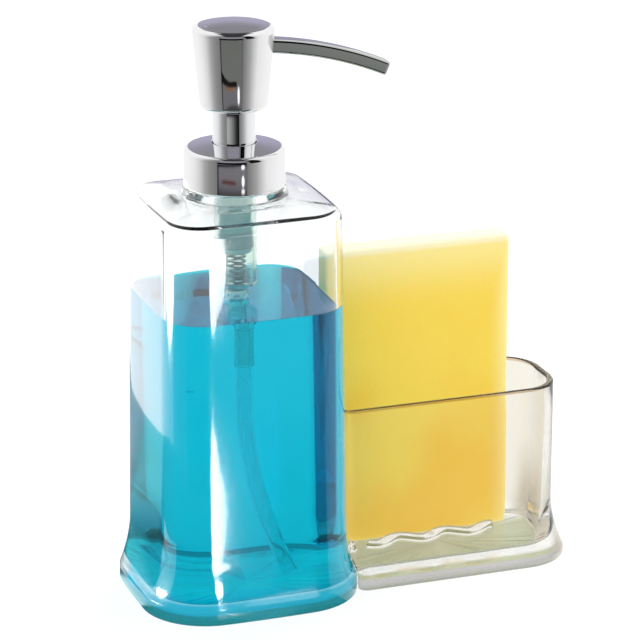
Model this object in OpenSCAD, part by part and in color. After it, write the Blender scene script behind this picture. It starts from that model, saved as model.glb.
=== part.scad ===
// Soap pump caddy: a clear rounded-square bottle with a chrome press pump,
// and a clear tub with a standing sponge bonded to its right side.
// Millimetres. Z is up, the pump axis is the Z axis, the tub lies towards +X.

/* [Bottle] */
// Width of the bottle at its foot, before the flare
body_w = 67.2; // [60:0.2:80]
// Depth of the bottle at its foot, before the flare
body_d = 66.4; // [60:0.2:80]
// Height of the flat shoulder above the table
shoulder_z = 140.5; // [120:0.5:180]
// How far each side leans in from foot to shoulder
body_draft = 2.2; // [0.5:0.1:4]
// Wall of the bottle
body_wall = 2.2; // [1.6:0.1:3]
// Corner radius under the shoulder
top_corner_r = 13.5; // [8:0.5:18]
// Corner radius just above the flare
low_corner_r = 16; // [10:0.5:20]
// Corner radius of the foot
foot_corner_r = 23; // [12:0.5:28]
// Rounding of the shoulder edge
shoulder_r = 6.5; // [4:0.5:9]
// How far the foot flares to each side in width
flare_w = 4.7; // [1:0.1:6]
// How far the foot flares to each side in depth
flare_d = 2.2; // [1:0.1:6]
// Height where the flare begins
flare_z = 22; // [15:0.5:30]
// Thickness of the edge of the base plate
plate_t = 5; // [3:0.5:7]
// Height of the base plate's plug inside the wall
plug_h = 1.5; // [1:0.1:2.5]
// Level of the liquid soap
soap_z = 104.3; // [40:0.1:112]

/* [Neck and collar] */
// How far the clear boss reaches past the collar
boss_lip = 0.5; // [0.1:0.1:3]
// Height of the clear boss
boss_h = 2.9; // [1.5:0.1:5]
// Outer diameter of the neck, without its thread
neck_d = 25.6; // [25:0.1:26.4]
// Bore of the neck
neck_bore = 22.4; // [18:0.1:23]
// Height of the neck above the boss
neck_h = 8.2; // [7:0.1:10]
// Pitch of the neck thread
thread_pitch = 4.2; // [3.6:0.1:5]
// Height of a thread ridge
thread_h = 0.9; // [0.6:0.05:1]
// Turns of thread on the neck
neck_turns = 1.25; // [1:0.25:1.25]
// Turns of thread in the collar
ring_turns = 1.25; // [1:0.25:1.25]
// Wall of the threaded ring inside the collar
ring_wall = 1.9; // [1.4:0.1:4]
// Height of the collar's edge
collar_h = 12.9; // [12.9:0.1:15]
// Rise of the collar's top from its edge to its hole
collar_rise = 1.6; // [0.4:0.1:2]
// Wall of the collar's chrome cap
collar_wall = 1.1; // [0.8:0.1:1.4]

/* [Pump] */
// Outer diameter of the pump cylinder
cyl_d = 14.2; // [13.4:0.1:14.4]
// Wall of the pump cylinder
cyl_wall = 1; // [0.8:0.1:1.2]
// Length of the pump cylinder's barrel, from the top of its flange
barrel_len = 44.9; // [42:0.1:48]
// Outer diameter of the valve chamber
chamber_d = 8.8; // [8.6:0.1:9.6]
// Length of the valve chamber
chamber_len = 12.2; // [11.2:0.1:14]
// Outer diameter of the dip tube socket
socket_d = 7; // [6.6:0.1:8]
// Length of the dip tube socket
socket_h = 15; // [10:0.5:20]
// Outer diameter of the dip tube
tube_d = 5.4; // [4.6:0.1:5.6]
// Wall of the dip tube
tube_wall = 0.9; // [0.6:0.1:1.2]
// Radius of the dip tube's bend
tube_bend_r = 111; // [90:1:140]
// Drop of the dip tube along its bend
tube_drop = 61.4; // [50:0.1:66]
// Direction of the bend, turned from +X
tube_turn = -45; // [-90:5:0]
// Travel of the pump when pressed
stroke = 10.5; // [6:0.1:10.5]
// Outer diameter of the piston stem
stem_d = 7; // [6.6:0.1:7.2]
// Outer diameter of the piston's body
piston_d = 10.6; // [10:0.1:10.8]
// Gap between the piston and the foot of the barrel when pressed
piston_gap = 0.6; // [0.5:0.1:1]
// Outer diameter of the return spring
spring_d = 7; // [6.2:0.1:7.1]
// Wire of the return spring
spring_wire = 0.75; // [0.5:0.05:0.9]
// Turns of the return spring
spring_turns = 8.5; // [6:0.5:10]
// Outer diameter of the chrome sleeve round the stem
sleeve_d = 14.4; // [14:0.1:14.6]
// Wall of the chrome sleeve
sleeve_wall = 1; // [0.8:0.1:1.2]

/* [Head] */
// Gap between the collar and the head's lower edge when pressed
head_gap = 1.1; // [0.8:0.1:3]
// Height of the head's side
head_h = 26; // [24:0.5:30]
// Diameter of the head at its lower edge
head_low_d = 22.4; // [21:0.2:24]
// Diameter of the head at its widest
head_top_d = 27.4; // [26:0.2:30]
// Wall of the head's chrome shell
head_wall = 1; // [0.8:0.1:1.2]
// Rounding of the head's upper edge
head_edge_r = 1.8; // [1:0.1:2.5]
// Rounding of the head's lower edge
head_foot_r = 2; // [1.2:0.1:3]
// Rise of the crown above the rounded edge
crown_h = 1.3; // [0.5:0.1:2]
// Width of the spout
spout_w = 6.4; // [5:0.1:7]
// Height of the spout's section
spout_h = 4.8; // [4:0.1:5.4]
// Corner radius of the spout's section
spout_corner_r = 2.1; // [1:0.1:2.3]
// Wall of the spout
spout_wall = 0.9; // [0.6:0.1:1.1]
// Radius of the spout's droop
spout_bend_r = 131; // [110:1:160]
// Reach of the spout's tip from the pump axis
spout_reach = 53.2; // [45:0.1:60]
// Height of the spout's centre above the head's lower edge where it leaves the head
spout_rise = 20.1; // [18:0.1:21]
// Slope of the spout where it leaves the head
spout_slope = 6; // [2:0.5:10]

/* [Tub and sponge] */
// Distance from the pump axis to the tub's far end
tub_reach = 114; // [100:0.5:130]
// Depth of the tub
tub_depth = 37.6; // [34:0.2:40]
// Height of the tub's rim
tub_h = 64.6; // [50:0.5:80]
// Wall of the tub at its rim
tub_wall = 2.4; // [1.8:0.1:3]
// Wall of the tub beside the bottle
near_wall = 1.2; // [1:0.1:2.4]
// Extra wall of the tub at its floor
tub_draft = 1.3; // [0.5:0.1:2]
// Radius of the tub's far corners
tub_corner_r = 14; // [8:0.5:16]
// Radius of the tub's corners beside the bottle
tub_near_r = 3.6; // [3:0.1:6]
// Flare of the tub's foot
tub_flare = 4.8; // [1:0.1:6]
// Height of the tub's floor
floor_z = 4.5; // [3:0.1:6]
// Height of the drain rib above the floor
rib_h = 3; // [1.5:0.1:4]
// Width of the drain rib
rib_w = 4.2; // [3:0.1:4.6]
// Length of the drain rib
rib_len = 48; // [30:0.5:56]
// Length of one wave of the drain rib
rib_wave = 17.4; // [14:0.2:22]
// Swing of the drain rib to each side
rib_swing = 2.1; // [1:0.1:2.2]
// Gap between the sponge and the tub's near wall
sponge_near_gap = 2.4; // [0.3:0.1:20]
// Gap between the sponge and the tub's far end
sponge_end_gap = 8.3; // [6:0.1:30]
// Height of the sponge
sponge_h = 109.6; // [80:0.5:120]
// Thickness of the sponge
sponge_t = 10.4; // [6:0.1:10.5]
// Rounding of the sponge's edges
sponge_r = 1.6; // [0.5:0.1:3]

/* [Hidden] */
$fn = 96;

// Overrun of a cut past the face that it opens
over = 1;
// Radial gap of a part that turns or slides on another
run_gap = 0.05;
// Gap between faces of different bodies
air_gap = 0.3;
// Gap between pieces that are laid in or bonded
lay_gap = 0.1;

// Steps round one corner of a lofted outline
corner_steps = 8;
// Steps of a flare and of a rounded edge
flare_steps = 6;
edge_steps = 5;
// Steps of the tub's near corners and of its side along the bottle
near_steps = 6;
along_steps = 18;
// Steps of a tube and of a thread in one turn
curl_steps = 8;
thread_steps = 24;
// Steps of the drain rib in one wave
wave_steps = 14;
wire_sides = 6;
// Sides of the dip tube and steps of its bend
tube_sides = 20;
bend_steps = 8;

// Heights of the neck, from the shoulder up
boss_z = shoulder_z + boss_h;
neck_z = boss_z + neck_h;
gasket_t = 1;
flange_t = 1.5;
guide_rim_t = 0.6;
flange_z = neck_z + gasket_t + flange_t;
guide_z = flange_z + guide_rim_t;
// Web of the collar ring over the guide's rim
web_t = 0.7;
web_z = guide_z + lay_gap + web_t;
collar_z = boss_z + lay_gap;
collar_edge_z = collar_z + collar_h;
collar_edge_r = 1.8;
collar_top_z = collar_edge_z + collar_rise;

// Radii of the pump, from the axis out
neck_r = neck_d / 2;
cyl_r = cyl_d / 2;
bore_r = cyl_r - cyl_wall;
tube_r = tube_d / 2;
stem_r = stem_d / 2;
spring_r = spring_d / 2;
sleeve_r = sleeve_d / 2;
sleeve_in_r = sleeve_r - sleeve_wall;
collar_hole_r = sleeve_r + air_gap;
flange_r = neck_r;
guide_step = 1.8;
guide_rim_r = neck_r - guide_step;
ring_in_r = neck_r + thread_h + air_gap;
ring_r = ring_in_r + ring_wall;
collar_r = ring_r + collar_wall;
boss_r = collar_r + boss_lip;

// Inside of the pump cylinder
barrel_z = flange_z - barrel_len;
chamber_z = barrel_z - chamber_len;
pocket_gap = 0.25;
pocket_r = spring_r + pocket_gap;
cone_h = 1.8;
bore_rise = 0.7;
cone_rise = 1.6;
bore_z = barrel_z + bore_rise;
pocket_z = bore_z - cone_rise;
ball_hole_r = 1.3;
inlet_r = 2.1;
inlet_room = 0.5;
inlet_chamber_r = inlet_r + inlet_room;
inlet_lift = 1.2;
cage_t = 0.8;
seat_rise = 4;
seat_z = chamber_z + seat_rise;
inlet_z = seat_z + sqrt(inlet_r * inlet_r - ball_hole_r * ball_hole_r) + run_gap;
cage_z = inlet_z + inlet_r + inlet_lift + lay_gap;
spring_z = cage_z + cage_t;
socket_z = chamber_z - socket_h;
tube_stop = 2;
tube_top_z = chamber_z - tube_stop;

// Piston and stem
piston_z = barrel_z + stroke + piston_gap;
recess_gap = 0.4;
recess_r = spring_r + recess_gap;
recess_h = 7.7;
piston_web = 1.6;
recess_z = piston_z + recess_h;
outlet_seat_z = recess_z + piston_web;
outlet_hole_r = 1.2;
outlet_r = 1.8;
outlet_lift = 1.5;
outlet_z = outlet_seat_z + sqrt(outlet_r * outlet_r - outlet_hole_r * outlet_hole_r) + run_gap;
outlet_room = 0.4;
stem_chamber_r = outlet_r + outlet_room;
stem_bore_r = 1.6;
stem_step_z = outlet_z + outlet_r + outlet_lift + lay_gap;
socket_rise = 1.4;
piston_top_z = stem_step_z + socket_rise;
plug_z = piston_top_z + air_gap;
seal_h = 6;
seal_lip = 0.7;
seal_rise = 1.7;
seal_z = piston_z + seal_rise;
seal_ledge = 0.8;
guide_neck_h = 4.3;

// Head
head_z = collar_top_z + stroke + head_gap;
spout_z = head_z + spout_rise;
head_low_r = head_low_d / 2;
head_top_r = head_top_d / 2;
head_edge_z = head_z + head_h;
head_top_z = head_edge_z + head_edge_r;
stem_in_head = 12.9;
sleeve_in_head = 2.9;
press_gap = 1.4;
core_boss_gap = 0.8;
stem_top_z = head_z + stem_in_head;
sleeve_top_z = head_z + sleeve_in_head;
core_z = sleeve_top_z + stroke + press_gap;
core_boss_r = sleeve_in_r - core_boss_gap;
core_boss_z = guide_z + guide_neck_h + stroke + press_gap;
core_top_gap = 0.4;
ring_h = 2;

// Head's lower edge, curled in to a lip that carries the ring
head_taper = (head_top_r - head_low_r) / head_h;
head_lean = atan(head_taper);
foot_centre_x = head_low_r - head_foot_r * (1 - sin(head_lean)) / cos(head_lean);
foot_centre_z = head_z + head_foot_r;
function foot_arc(r) = [for (i = [0:5])
    let (a = -90 + i * (90 - head_lean) / 5)
    [foot_centre_x + r * cos(a), foot_centre_z + r * sin(a)]];

// Spout: an arc about a centre under the head
spout_in_x = 6;
spout_centre_x = head_top_r - spout_wall - spout_bend_r * sin(spout_slope);
spout_centre_z = spout_z - spout_bend_r * cos(spout_slope);
spout_start = asin((spout_in_x - spout_centre_x) / spout_bend_r);
spout_end = asin((spout_reach - spout_centre_x) / spout_bend_r);

// Dip tube: straight, then an arc down to just above the base plate
cavity_z = plate_t + plug_h;
tube_end_gap = 2.1;
tube_end_z = cavity_z + tube_end_gap;
tube_bend_z = tube_end_z + tube_drop;
tube_angle = asin(tube_drop / tube_bend_r);

// Lift of the pump when the collar is turned off its thread
collar_turns = 1.25;
unscrew_lift = collar_turns * thread_pitch;

// Tub and sponge
tub_far_in = tub_reach - tub_wall - tub_draft;
rim_r = 0.9;
rib_middle_x = 71.5;
sponge_back_y = tub_depth / 2 - tub_wall - tub_draft - air_gap;
sponge_foot_z = floor_z + lay_gap;
sponge_far_x = tub_far_in - sponge_end_gap;
sponge_corner_r = 1.9;

// Share of the flare left at a height: 1 on the base plate, 0 where the flare begins
function flare_at(z) = z >= flare_z ? 0 : pow((flare_z - max(z, plate_t)) / (flare_z - plate_t), 2);

// Share of the way from the foot to the shoulder
function rise_at(z) = min(1, max(0, z / (shoulder_z - shoulder_r)));

// Half width, half depth and corner radius of the bottle at a height
function body_x(z) = body_w / 2 - body_draft * rise_at(z) + flare_w * flare_at(z);
function body_y(z) = body_d / 2 - body_draft * rise_at(z) + flare_d * flare_at(z);
function corner_at(z) = low_corner_r + (top_corner_r - low_corner_r) * rise_at(z)
                        + (foot_corner_r - low_corner_r) * flare_at(z);

// Rounded rectangle at a height, counterclockwise from the corner at +X, +Y
function outline(half_x, half_y, r, z) = [
    for (corner = [0:3], i = [0:corner_steps])
        let (a = corner * 90 + i * 90 / corner_steps,
             sx = corner == 0 || corner == 3 ? 1 : -1,
             sy = corner < 2 ? 1 : -1)
        [sx * (half_x - r) + r * cos(a), sy * (half_y - r) + r * sin(a), z]];

// Outline of the bottle at a height, drawn in by an inset
function body_ring(z, inset, ring_z) =
    outline(body_x(z) - inset, body_y(z) - inset, max(1, corner_at(z) - inset), ring_z);

// Heights from the base plate to the shoulder's edge
function body_heights(low) = concat(
    [for (i = [0:flare_steps]) low + (flare_z - low) * i / flare_steps],
    [for (i = [1:3]) flare_z + (shoulder_z - shoulder_r - flare_z) * i / 3]);

// Rounded shoulder of a shell whose outline is drawn in by an inset
function shoulder_rings(inset) =
    let (z0 = shoulder_z - shoulder_r, r = shoulder_r - inset)
    [for (i = [1:edge_steps])
        let (a = 90 * i / edge_steps)
        body_ring(z0, inset + r * (1 - cos(a)), z0 + r * sin(a))];

// Reverse of a list
function reversed(list) = [for (i = [len(list) - 1:-1:0]) list[i]];

// All points of a list of rings
function joined(rings) = [for (ring = rings, p = ring) p];

// Faces between rings a and b of n points
function band(a, b, n) = [
    for (k = [0:n - 1], half = [0:1])
        let (m = (k + 1) % n)
        half == 0 ? [a * n + k, b * n + k, b * n + m] : [a * n + k, b * n + m, a * n + m]];

// Solid through a stack of rings, closed by a cap at each end
module skin(rings) {
    n = len(rings[0]);
    last = len(rings) - 1;
    sides = [for (i = [0:last - 1], face = band(i, i + 1, n)) face];
    low_cap = [for (k = [0:n - 1]) k];
    high_cap = [for (k = [n - 1:-1:0]) last * n + k];
    polyhedron(joined(rings), concat(sides, [low_cap, high_cap]), convexity = 6);
}

// Solid through a closed loop of rings, with a hole through its middle
module hoop(rings) {
    n = len(rings[0]);
    count = len(rings);
    sides = [for (i = [0:count - 1], face = band(i, (i + 1) % count, n)) face];
    polyhedron(joined(rings), sides, convexity = 6);
}

// Helical ridge between two radii, tapered away at both ends
fade_steps = 4;
least_fade = 0.3;
module thread_ridge(in_r, out_r, in_w, out_w, z, turns, crest_out) {
    count = round(turns * thread_steps);
    skin([for (i = [0:count])
        let (a = i * 360 / thread_steps,
             rise = z + thread_pitch * a / 360,
             fade = max(least_fade, min(1, min(i, count - i) / fade_steps)),
             span = out_r - in_r,
             low_r = crest_out ? in_r : out_r - span * fade,
             high_r = crest_out ? in_r + span * fade : out_r,
             c = cos(a),
             s = sin(a))
        [[low_r * c, low_r * s, rise - in_w / 2],
         [low_r * c, low_r * s, rise + in_w / 2],
         [high_r * c, high_r * s, rise + out_w / 2],
         [high_r * c, high_r * s, rise - out_w / 2]]]);
}

// Ring of material between two radii and two heights
module tube(out_r, in_r, low_z, high_z) {
    translate([0, 0, low_z])
        difference() {
            cylinder(r = out_r, h = high_z - low_z);
            translate([0, 0, -over]) cylinder(r = in_r, h = high_z - low_z + 2 * over);
        }
}

// Clear bottle, open below, with its boss and threaded neck
thread_start = 1.6;
thread_low_z = boss_z + thread_start;
ridge_foot_w = 2;
ridge_crest_w = 1.1;
ridge_root = 0.4;
plateau_more = 0.3;
plateau_t = body_wall + plateau_more;
hole_inset = 2.5;
hole_r = boss_r - hole_inset;
hole_corner_r = hole_r * 0.95;
module bottle_shell() {
    heights = body_heights(plate_t);
    inner_top = shoulder_z - body_wall;
    rings = concat(
        [for (z = heights) body_ring(z, 0, z)],
        shoulder_rings(0),
        [outline(hole_r, hole_r, hole_corner_r, shoulder_z), outline(hole_r, hole_r, hole_corner_r, inner_top)],
        reversed(shoulder_rings(body_wall)),
        reversed([for (z = heights) body_ring(z, body_wall, z)]));
    color([0.93, 0.95, 0.95, 0.35])
        union() {
            hoop(rings);
            tube(boss_r, neck_bore / 2, shoulder_z - plateau_t, boss_z);
            tube(neck_r, neck_bore / 2, boss_z - boss_h / 2, neck_z);
            thread_ridge(neck_r - ridge_root, neck_r + thread_h, ridge_foot_w, ridge_crest_w,
                         thread_low_z, neck_turns, true);
        }
}

// Thick base plate, with a plug that fits inside the wall
plug_inset = 1.2;
module bottle_base() {
    plug_x = body_x(cavity_z) - body_wall - plug_inset;
    plug_y = body_y(cavity_z) - body_wall - plug_inset;
    color([0.75, 0.88, 0.88, 0.5])
        union() {
            skin([body_ring(0, 0, 0), body_ring(0, 0, plate_t)]);
            skin([outline(plug_x, plug_y, foot_corner_r - body_wall - plug_inset, plate_t / 2),
                  outline(plug_x, plug_y, foot_corner_r - body_wall - plug_inset, cavity_z)]);
        }
}

// Liquid soap, with room for the pump and its dip tube over the pump's lift
room = 0.5;
bend_more = 3;
function bend_point(a, side) =
    let (r = tube_bend_r - side)
    [tube_bend_r - r * cos(a), tube_bend_z - r * sin(a)];
module tube_room() {
    reach = tube_r + room;
    last = tube_angle + bend_more;
    low_side = [for (i = [0:bend_steps]) bend_point(last * i / bend_steps, -reach)];
    high_side = [for (i = [bend_steps:-1:0]) bend_point(last * i / bend_steps, reach) + [0, unscrew_lift]];
    rotate([0, 0, tube_turn])
        rotate([90, 0, 0])
            linear_extrude(height = 2 * reach, center = true)
                polygon(concat([[-reach, soap_z + over]], low_side, high_side, [[reach, soap_z + over]]));
}
module soap_fill() {
    low = cavity_z + lay_gap;
    rings = [for (z = body_heights(low)) if (z < soap_z) body_ring(z, body_wall + lay_gap, z)];
    top_ring = body_ring(soap_z, body_wall + lay_gap, soap_z);
    color([0, 0.7, 0.85, 0.8])
        difference() {
            skin(concat(rings, [top_ring]));
            translate([0, 0, socket_z - room])
                cylinder(r = chamber_d / 2 + room, h = barrel_z - socket_z + room);
            translate([0, 0, barrel_z - cone_h - room])
                cylinder(r = cyl_r + room, h = barrel_len + cone_h + room);
            tube_room();
        }
}

// Bottle's wall at a height and a depth, which the tub is bonded to
function near_x(z, y) =
    let (r = corner_at(z), past = max(0, abs(y) - (body_y(z) - r)))
    body_x(z) - r + sqrt(r * r - past * past);

// Outline of the tub: drawn in by an inset, grown by its flare, with its near side off the bottle
function tub_ring(z, inset, grow, near, ring_z) =
    let (far_x = tub_reach - inset + grow,
         half = tub_depth / 2 - inset + grow,
         far_r = max(near_wall, tub_corner_r - inset + grow),
         near_r = max(near_wall, tub_near_r - inset),
         side_x = near_x(z, half - near_r) + lay_gap + near)
    concat(
        [for (i = [0:corner_steps])
            let (a = i * 90 / corner_steps)
            [far_x - far_r + far_r * cos(a), half - far_r + far_r * sin(a), ring_z]],
        [for (i = [0:near_steps])
            let (a = 90 + i * 90 / near_steps)
            [side_x + near_r + near_r * cos(a), half - near_r + near_r * sin(a), ring_z]],
        [for (i = [1:along_steps - 1])
            let (y = (half - near_r) * (1 - 2 * i / along_steps))
            [near_x(z, y) + lay_gap + near, y, ring_z]],
        [for (i = [0:near_steps])
            let (a = 180 + i * 90 / near_steps)
            [side_x + near_r + near_r * cos(a), -half + near_r + near_r * sin(a), ring_z]],
        [for (i = [0:corner_steps])
            let (a = 270 + i * 90 / corner_steps)
            [far_x - far_r + far_r * cos(a), -half + far_r + far_r * sin(a), ring_z]]);

// Clear tub: its near side follows the bottle's wall, its foot flares, and its rim is rounded
module sponge_tub() {
    foot_edge = 0.6;
    bowl_r = 1.5;
    low_z = plate_t / 2;
    outer = concat(
        [tub_ring(0, foot_edge, tub_flare, 0, 0), tub_ring(0, 0, tub_flare, 0, foot_edge)],
        [for (i = [0:flare_steps])
            let (z = low_z + (flare_z - low_z) * i / flare_steps)
            tub_ring(z, 0, tub_flare * pow((flare_z - z) / (flare_z - low_z), 2), 0, z)]);
    rim = [for (i = [0:6])
        let (a = i * 30,
             share = i < 4 ? (1 - cos(a)) * rim_r / tub_wall : 1 - (1 + cos(a)) * rim_r / tub_wall)
        tub_ring(tub_h, tub_wall * share, 0, near_wall * share, tub_h - rim_r + rim_r * sin(a))];
    inner = concat(
        [for (z = [flare_z, flare_z * 3 / 4, flare_z / 2, floor_z + bowl_r])
            tub_ring(z, tub_wall + tub_draft * (tub_h - z) / tub_h, 0, near_wall, z)],
        [for (i = [1:3])
            let (a = i * 30, more = bowl_r * (1 - cos(a)))
            tub_ring(floor_z, tub_wall + tub_draft + more, 0, near_wall + more, floor_z + bowl_r * (1 - sin(a)))]);
    color([0.9, 0.92, 0.88, 0.35])
        union() {
            skin(concat(outer, rim, inner));
            drain_rib();
        }
}

// Wavy rib on the tub's floor: one outline with a side for each edge of the wave
function rib_phase(x) = 360 * (x - rib_middle_x + rib_len / 2 - rib_wave / 5) / rib_wave;
function rib_side(x, side) =
    let (slope = rib_swing * sin(rib_phase(x)) * 2 * PI / rib_wave, size = sqrt(1 + slope * slope))
    [x - side * slope / size, -rib_swing * cos(rib_phase(x)) + side / size];
module drain_rib() {
    count = round(wave_steps * rib_len / rib_wave);
    xs = [for (i = [0:count]) rib_middle_x - rib_len / 2 + rib_len * i / count];
    translate([0, 0, floor_z - rib_h / 4])
        linear_extrude(height = rib_h * 5 / 4)
            polygon(concat([for (x = xs) rib_side(x, -rib_w / 2)],
                           [for (x = reversed(xs)) rib_side(x, rib_w / 2)]));
}

// Pump cylinder: flange, barrel, valve chamber and dip tube socket
module pump_cylinder() {
    out = [[flange_r, flange_z], [flange_r, flange_z - flange_t], [cyl_r, flange_z - flange_t],
           [cyl_r, barrel_z], [chamber_d / 2, barrel_z - cone_h], [chamber_d / 2, chamber_z],
           [socket_d / 2, chamber_z - cyl_wall], [socket_d / 2, socket_z]];
    inside = [[tube_r + run_gap, socket_z], [tube_r + run_gap, tube_top_z], [ball_hole_r, tube_top_z],
              [ball_hole_r, seat_z], [inlet_chamber_r, seat_z], [inlet_chamber_r, cage_z],
              [pocket_r, cage_z], [pocket_r, pocket_z], [bore_r, bore_z], [bore_r, flange_z]];
    color([0.85, 0.92, 0.9, 0.6]) rotate_extrude() polygon(concat(out, inside));
}

// Soft washer between the neck and the cylinder's flange
module cylinder_gasket() {
    color([0.95, 0.95, 0.93]) tube(flange_r, cyl_r + lay_gap, neck_z, neck_z + gasket_t);
}

// Guide that closes the cylinder and carries the chrome sleeve
module stem_guide() {
    hole = stem_r + run_gap;
    color([0.9, 0.93, 0.92])
        rotate_extrude()
            polygon([[hole, plug_z], [bore_r, plug_z], [bore_r, flange_z], [guide_rim_r, flange_z],
                     [guide_rim_r, guide_z], [sleeve_in_r, guide_z],
                     [sleeve_in_r, guide_z + guide_neck_h], [hole, guide_z + guide_neck_h]]);
}

// Chrome sleeve that the head slides down over
module stem_sleeve() {
    color([0.8, 0.81, 0.83]) tube(sleeve_r, sleeve_in_r, guide_z, sleeve_top_z);
}

// Dip tube: a straight length and one long bend towards a corner of the base
function tube_ring(a, r, z) = [for (k = [0:tube_sides - 1])
    let (b = k * 360 / tube_sides, reach = tube_bend_r + r * cos(b))
    [tube_bend_r - reach * cos(a), r * sin(b), z - reach * sin(a)]];
module dip_tube() {
    angles = [for (i = [0:bend_steps]) tube_angle * i / bend_steps];
    in_r = tube_r - tube_wall;
    outer = concat([tube_ring(0, tube_r, tube_top_z)], [for (a = angles) tube_ring(a, tube_r, tube_bend_z)]);
    inner = concat([tube_ring(0, in_r, tube_top_z)], [for (a = angles) tube_ring(a, in_r, tube_bend_z)]);
    color([0.9, 0.95, 0.96, 0.6]) rotate([0, 0, tube_turn]) hoop(concat(outer, reversed(inner)));
}

// Disc that keeps the inlet ball in its chamber and carries the spring
module ball_cage() {
    color([0.9, 0.93, 0.92])
        difference() {
            tube(pocket_r - run_gap, ball_hole_r / 2, cage_z, cage_z + cage_t);
            for (i = [0:2])
                rotate([0, 0, i * 120])
                    translate([inlet_r, 0, cage_z - over])
                        cylinder(r = ball_hole_r / 2, h = cage_t + 2 * over, $fn = 24);
        }
}

// Return spring: one unbroken wire with straight ends
spring_mid_r = spring_r - spring_wire / 2;
spring_len = recess_z - spring_z - 2 * run_gap;
spring_pitch = (spring_len - spring_wire) / spring_turns;
spring_count = round(spring_turns * curl_steps);
spring_points = [for (i = [0:spring_count])
    let (a = i * 360 / curl_steps)
    [spring_mid_r * cos(a), spring_mid_r * sin(a),
     spring_z + run_gap + spring_wire / 2 + spring_pitch * i / curl_steps]];
spring_gap = min([
    for (i = [0:spring_count - curl_steps], k = [curl_steps - 2:min(curl_steps + 2, spring_count - i)])
        norm(spring_points[i + k] - spring_points[i])]) - spring_wire;
echo(spring_gap = spring_gap);
function wire_ring(p, a) = [for (k = [0:wire_sides - 1])
    let (b = k * 360 / wire_sides, out = spring_wire / 2 * cos(b))
    p + [out * cos(a), out * sin(a), -spring_wire / 2 * sin(b)]];
module return_spring() {
    last = spring_count * 360 / curl_steps;
    along = [0, spring_wire, 0];
    end_along = spring_wire * [-sin(last), cos(last), 0];
    color([0.55, 0.6, 0.62])
        skin(concat([wire_ring(spring_points[0] - along, 0)],
                    [for (i = [0:spring_count]) wire_ring(spring_points[i], i * 360 / curl_steps)],
                    [wire_ring(spring_points[spring_count] + end_along, last)]));
}

module inlet_ball() {
    color([0.85, 0.86, 0.88]) translate([0, 0, inlet_z]) sphere(r = inlet_r);
}

// Chrome cap of the collar, with a low cone for its top
module collar_cap() {
    edge = [for (i = [0:6])
        let (a = i * 15)
        [collar_r - collar_edge_r + collar_edge_r * cos(a),
         collar_edge_z - collar_edge_r + collar_edge_r * sin(a)]];
    color([0.78, 0.79, 0.82])
        rotate_extrude()
            polygon(concat([[ring_r, collar_z], [collar_r, collar_z]], edge,
                           [[collar_hole_r, collar_top_z], [collar_hole_r, web_z], [ring_r, web_z]]));
}

// Threaded ring inside the collar's cap
module collar_ring() {
    web_r = collar_hole_r + air_gap;
    color([0.9, 0.92, 0.92])
        union() {
            rotate_extrude()
                polygon([[ring_in_r, collar_z + air_gap], [ring_r, collar_z + air_gap], [ring_r, web_z],
                         [web_r, web_z], [web_r, web_z - web_t], [ring_in_r, web_z - web_t]]);
            thread_ridge(ring_in_r - thread_h, ring_in_r + ridge_root, ridge_crest_w, ridge_foot_w,
                         thread_low_z + thread_pitch / 2, ring_turns, false);
        }
}

// Piston: a recess for the spring below, a socket for the stem above
module piston() {
    piston_r = piston_d / 2;
    ledge_r = piston_r + seal_lip / 2;
    seal_top = seal_z + seal_h;
    color([0.45, 0.66, 0.68])
        rotate_extrude()
            polygon([[recess_r, piston_z], [piston_r, piston_z], [piston_r, seal_z - seal_ledge],
                     [ledge_r, seal_z - seal_ledge], [ledge_r, seal_z], [piston_r, seal_z],
                     [piston_r, seal_top], [ledge_r, seal_top], [ledge_r, seal_top + seal_ledge],
                     [piston_r, seal_top + seal_ledge], [piston_r, piston_top_z], [stem_r, piston_top_z],
                     [stem_r, outlet_seat_z], [outlet_hole_r, outlet_seat_z],
                     [outlet_hole_r, recess_z], [recess_r, recess_z]]);
}

// Cup seal with a lip at each end
module piston_seal() {
    in_r = piston_d / 2;
    lip_r = bore_r - run_gap;
    waist_r = in_r + (lip_r - in_r) / 2;
    lip_h = seal_h / 10;
    top = seal_z + seal_h;
    color([0.35, 0.5, 0.55])
        rotate_extrude()
            polygon([[in_r, seal_z], [waist_r, seal_z], [lip_r, seal_z + lip_h], [waist_r, seal_z + 3 * lip_h],
                     [waist_r, top - 3 * lip_h], [lip_r, top - lip_h], [waist_r, top], [in_r, top]]);
}

// Hollow stem between the piston and the head
module piston_stem() {
    color([0.88, 0.92, 0.92])
        rotate_extrude()
            polygon([[stem_chamber_r, outlet_seat_z], [stem_r, outlet_seat_z], [stem_r, stem_top_z],
                     [stem_bore_r, stem_top_z], [stem_bore_r, stem_step_z], [stem_chamber_r, stem_step_z]]);
}

module outlet_ball() {
    color([0.85, 0.86, 0.88]) translate([0, 0, outlet_z]) sphere(r = outlet_r);
}

// Section of the spout, drawn in by an inset: height along x, width along y
module spout_section(inset) {
    r = spout_corner_r - inset;
    half_h = spout_h / 2 - inset;
    half_w = spout_w / 2 - inset;
    union() {
        square([2 * half_h, 2 * (half_w - r)], center = true);
        square([2 * (half_h - r), 2 * half_w], center = true);
        for (sx = [-1, 1], sy = [-1, 1])
            translate([sx * (half_h - r), sy * (half_w - r)]) circle(r = r, $fn = 32);
    }
}

// Arc of the spout's section, from one angle off the vertical to another
module spout_arc(inset, from, to) {
    translate([spout_centre_x, 0, spout_centre_z])
        rotate([90, 0, 0])
            rotate([0, 0, 90 - to])
                rotate_extrude(angle = to - from, $fn = 360)
                    translate([spout_bend_r, 0]) spout_section(inset);
}
module spout() {
    spare = 0.5;
    color([0.7, 0.74, 0.72])
        difference() {
            spout_arc(0, spout_start, spout_end);
            spout_arc(spout_wall, spout_start - spare, spout_end + spare);
        }
}

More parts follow.
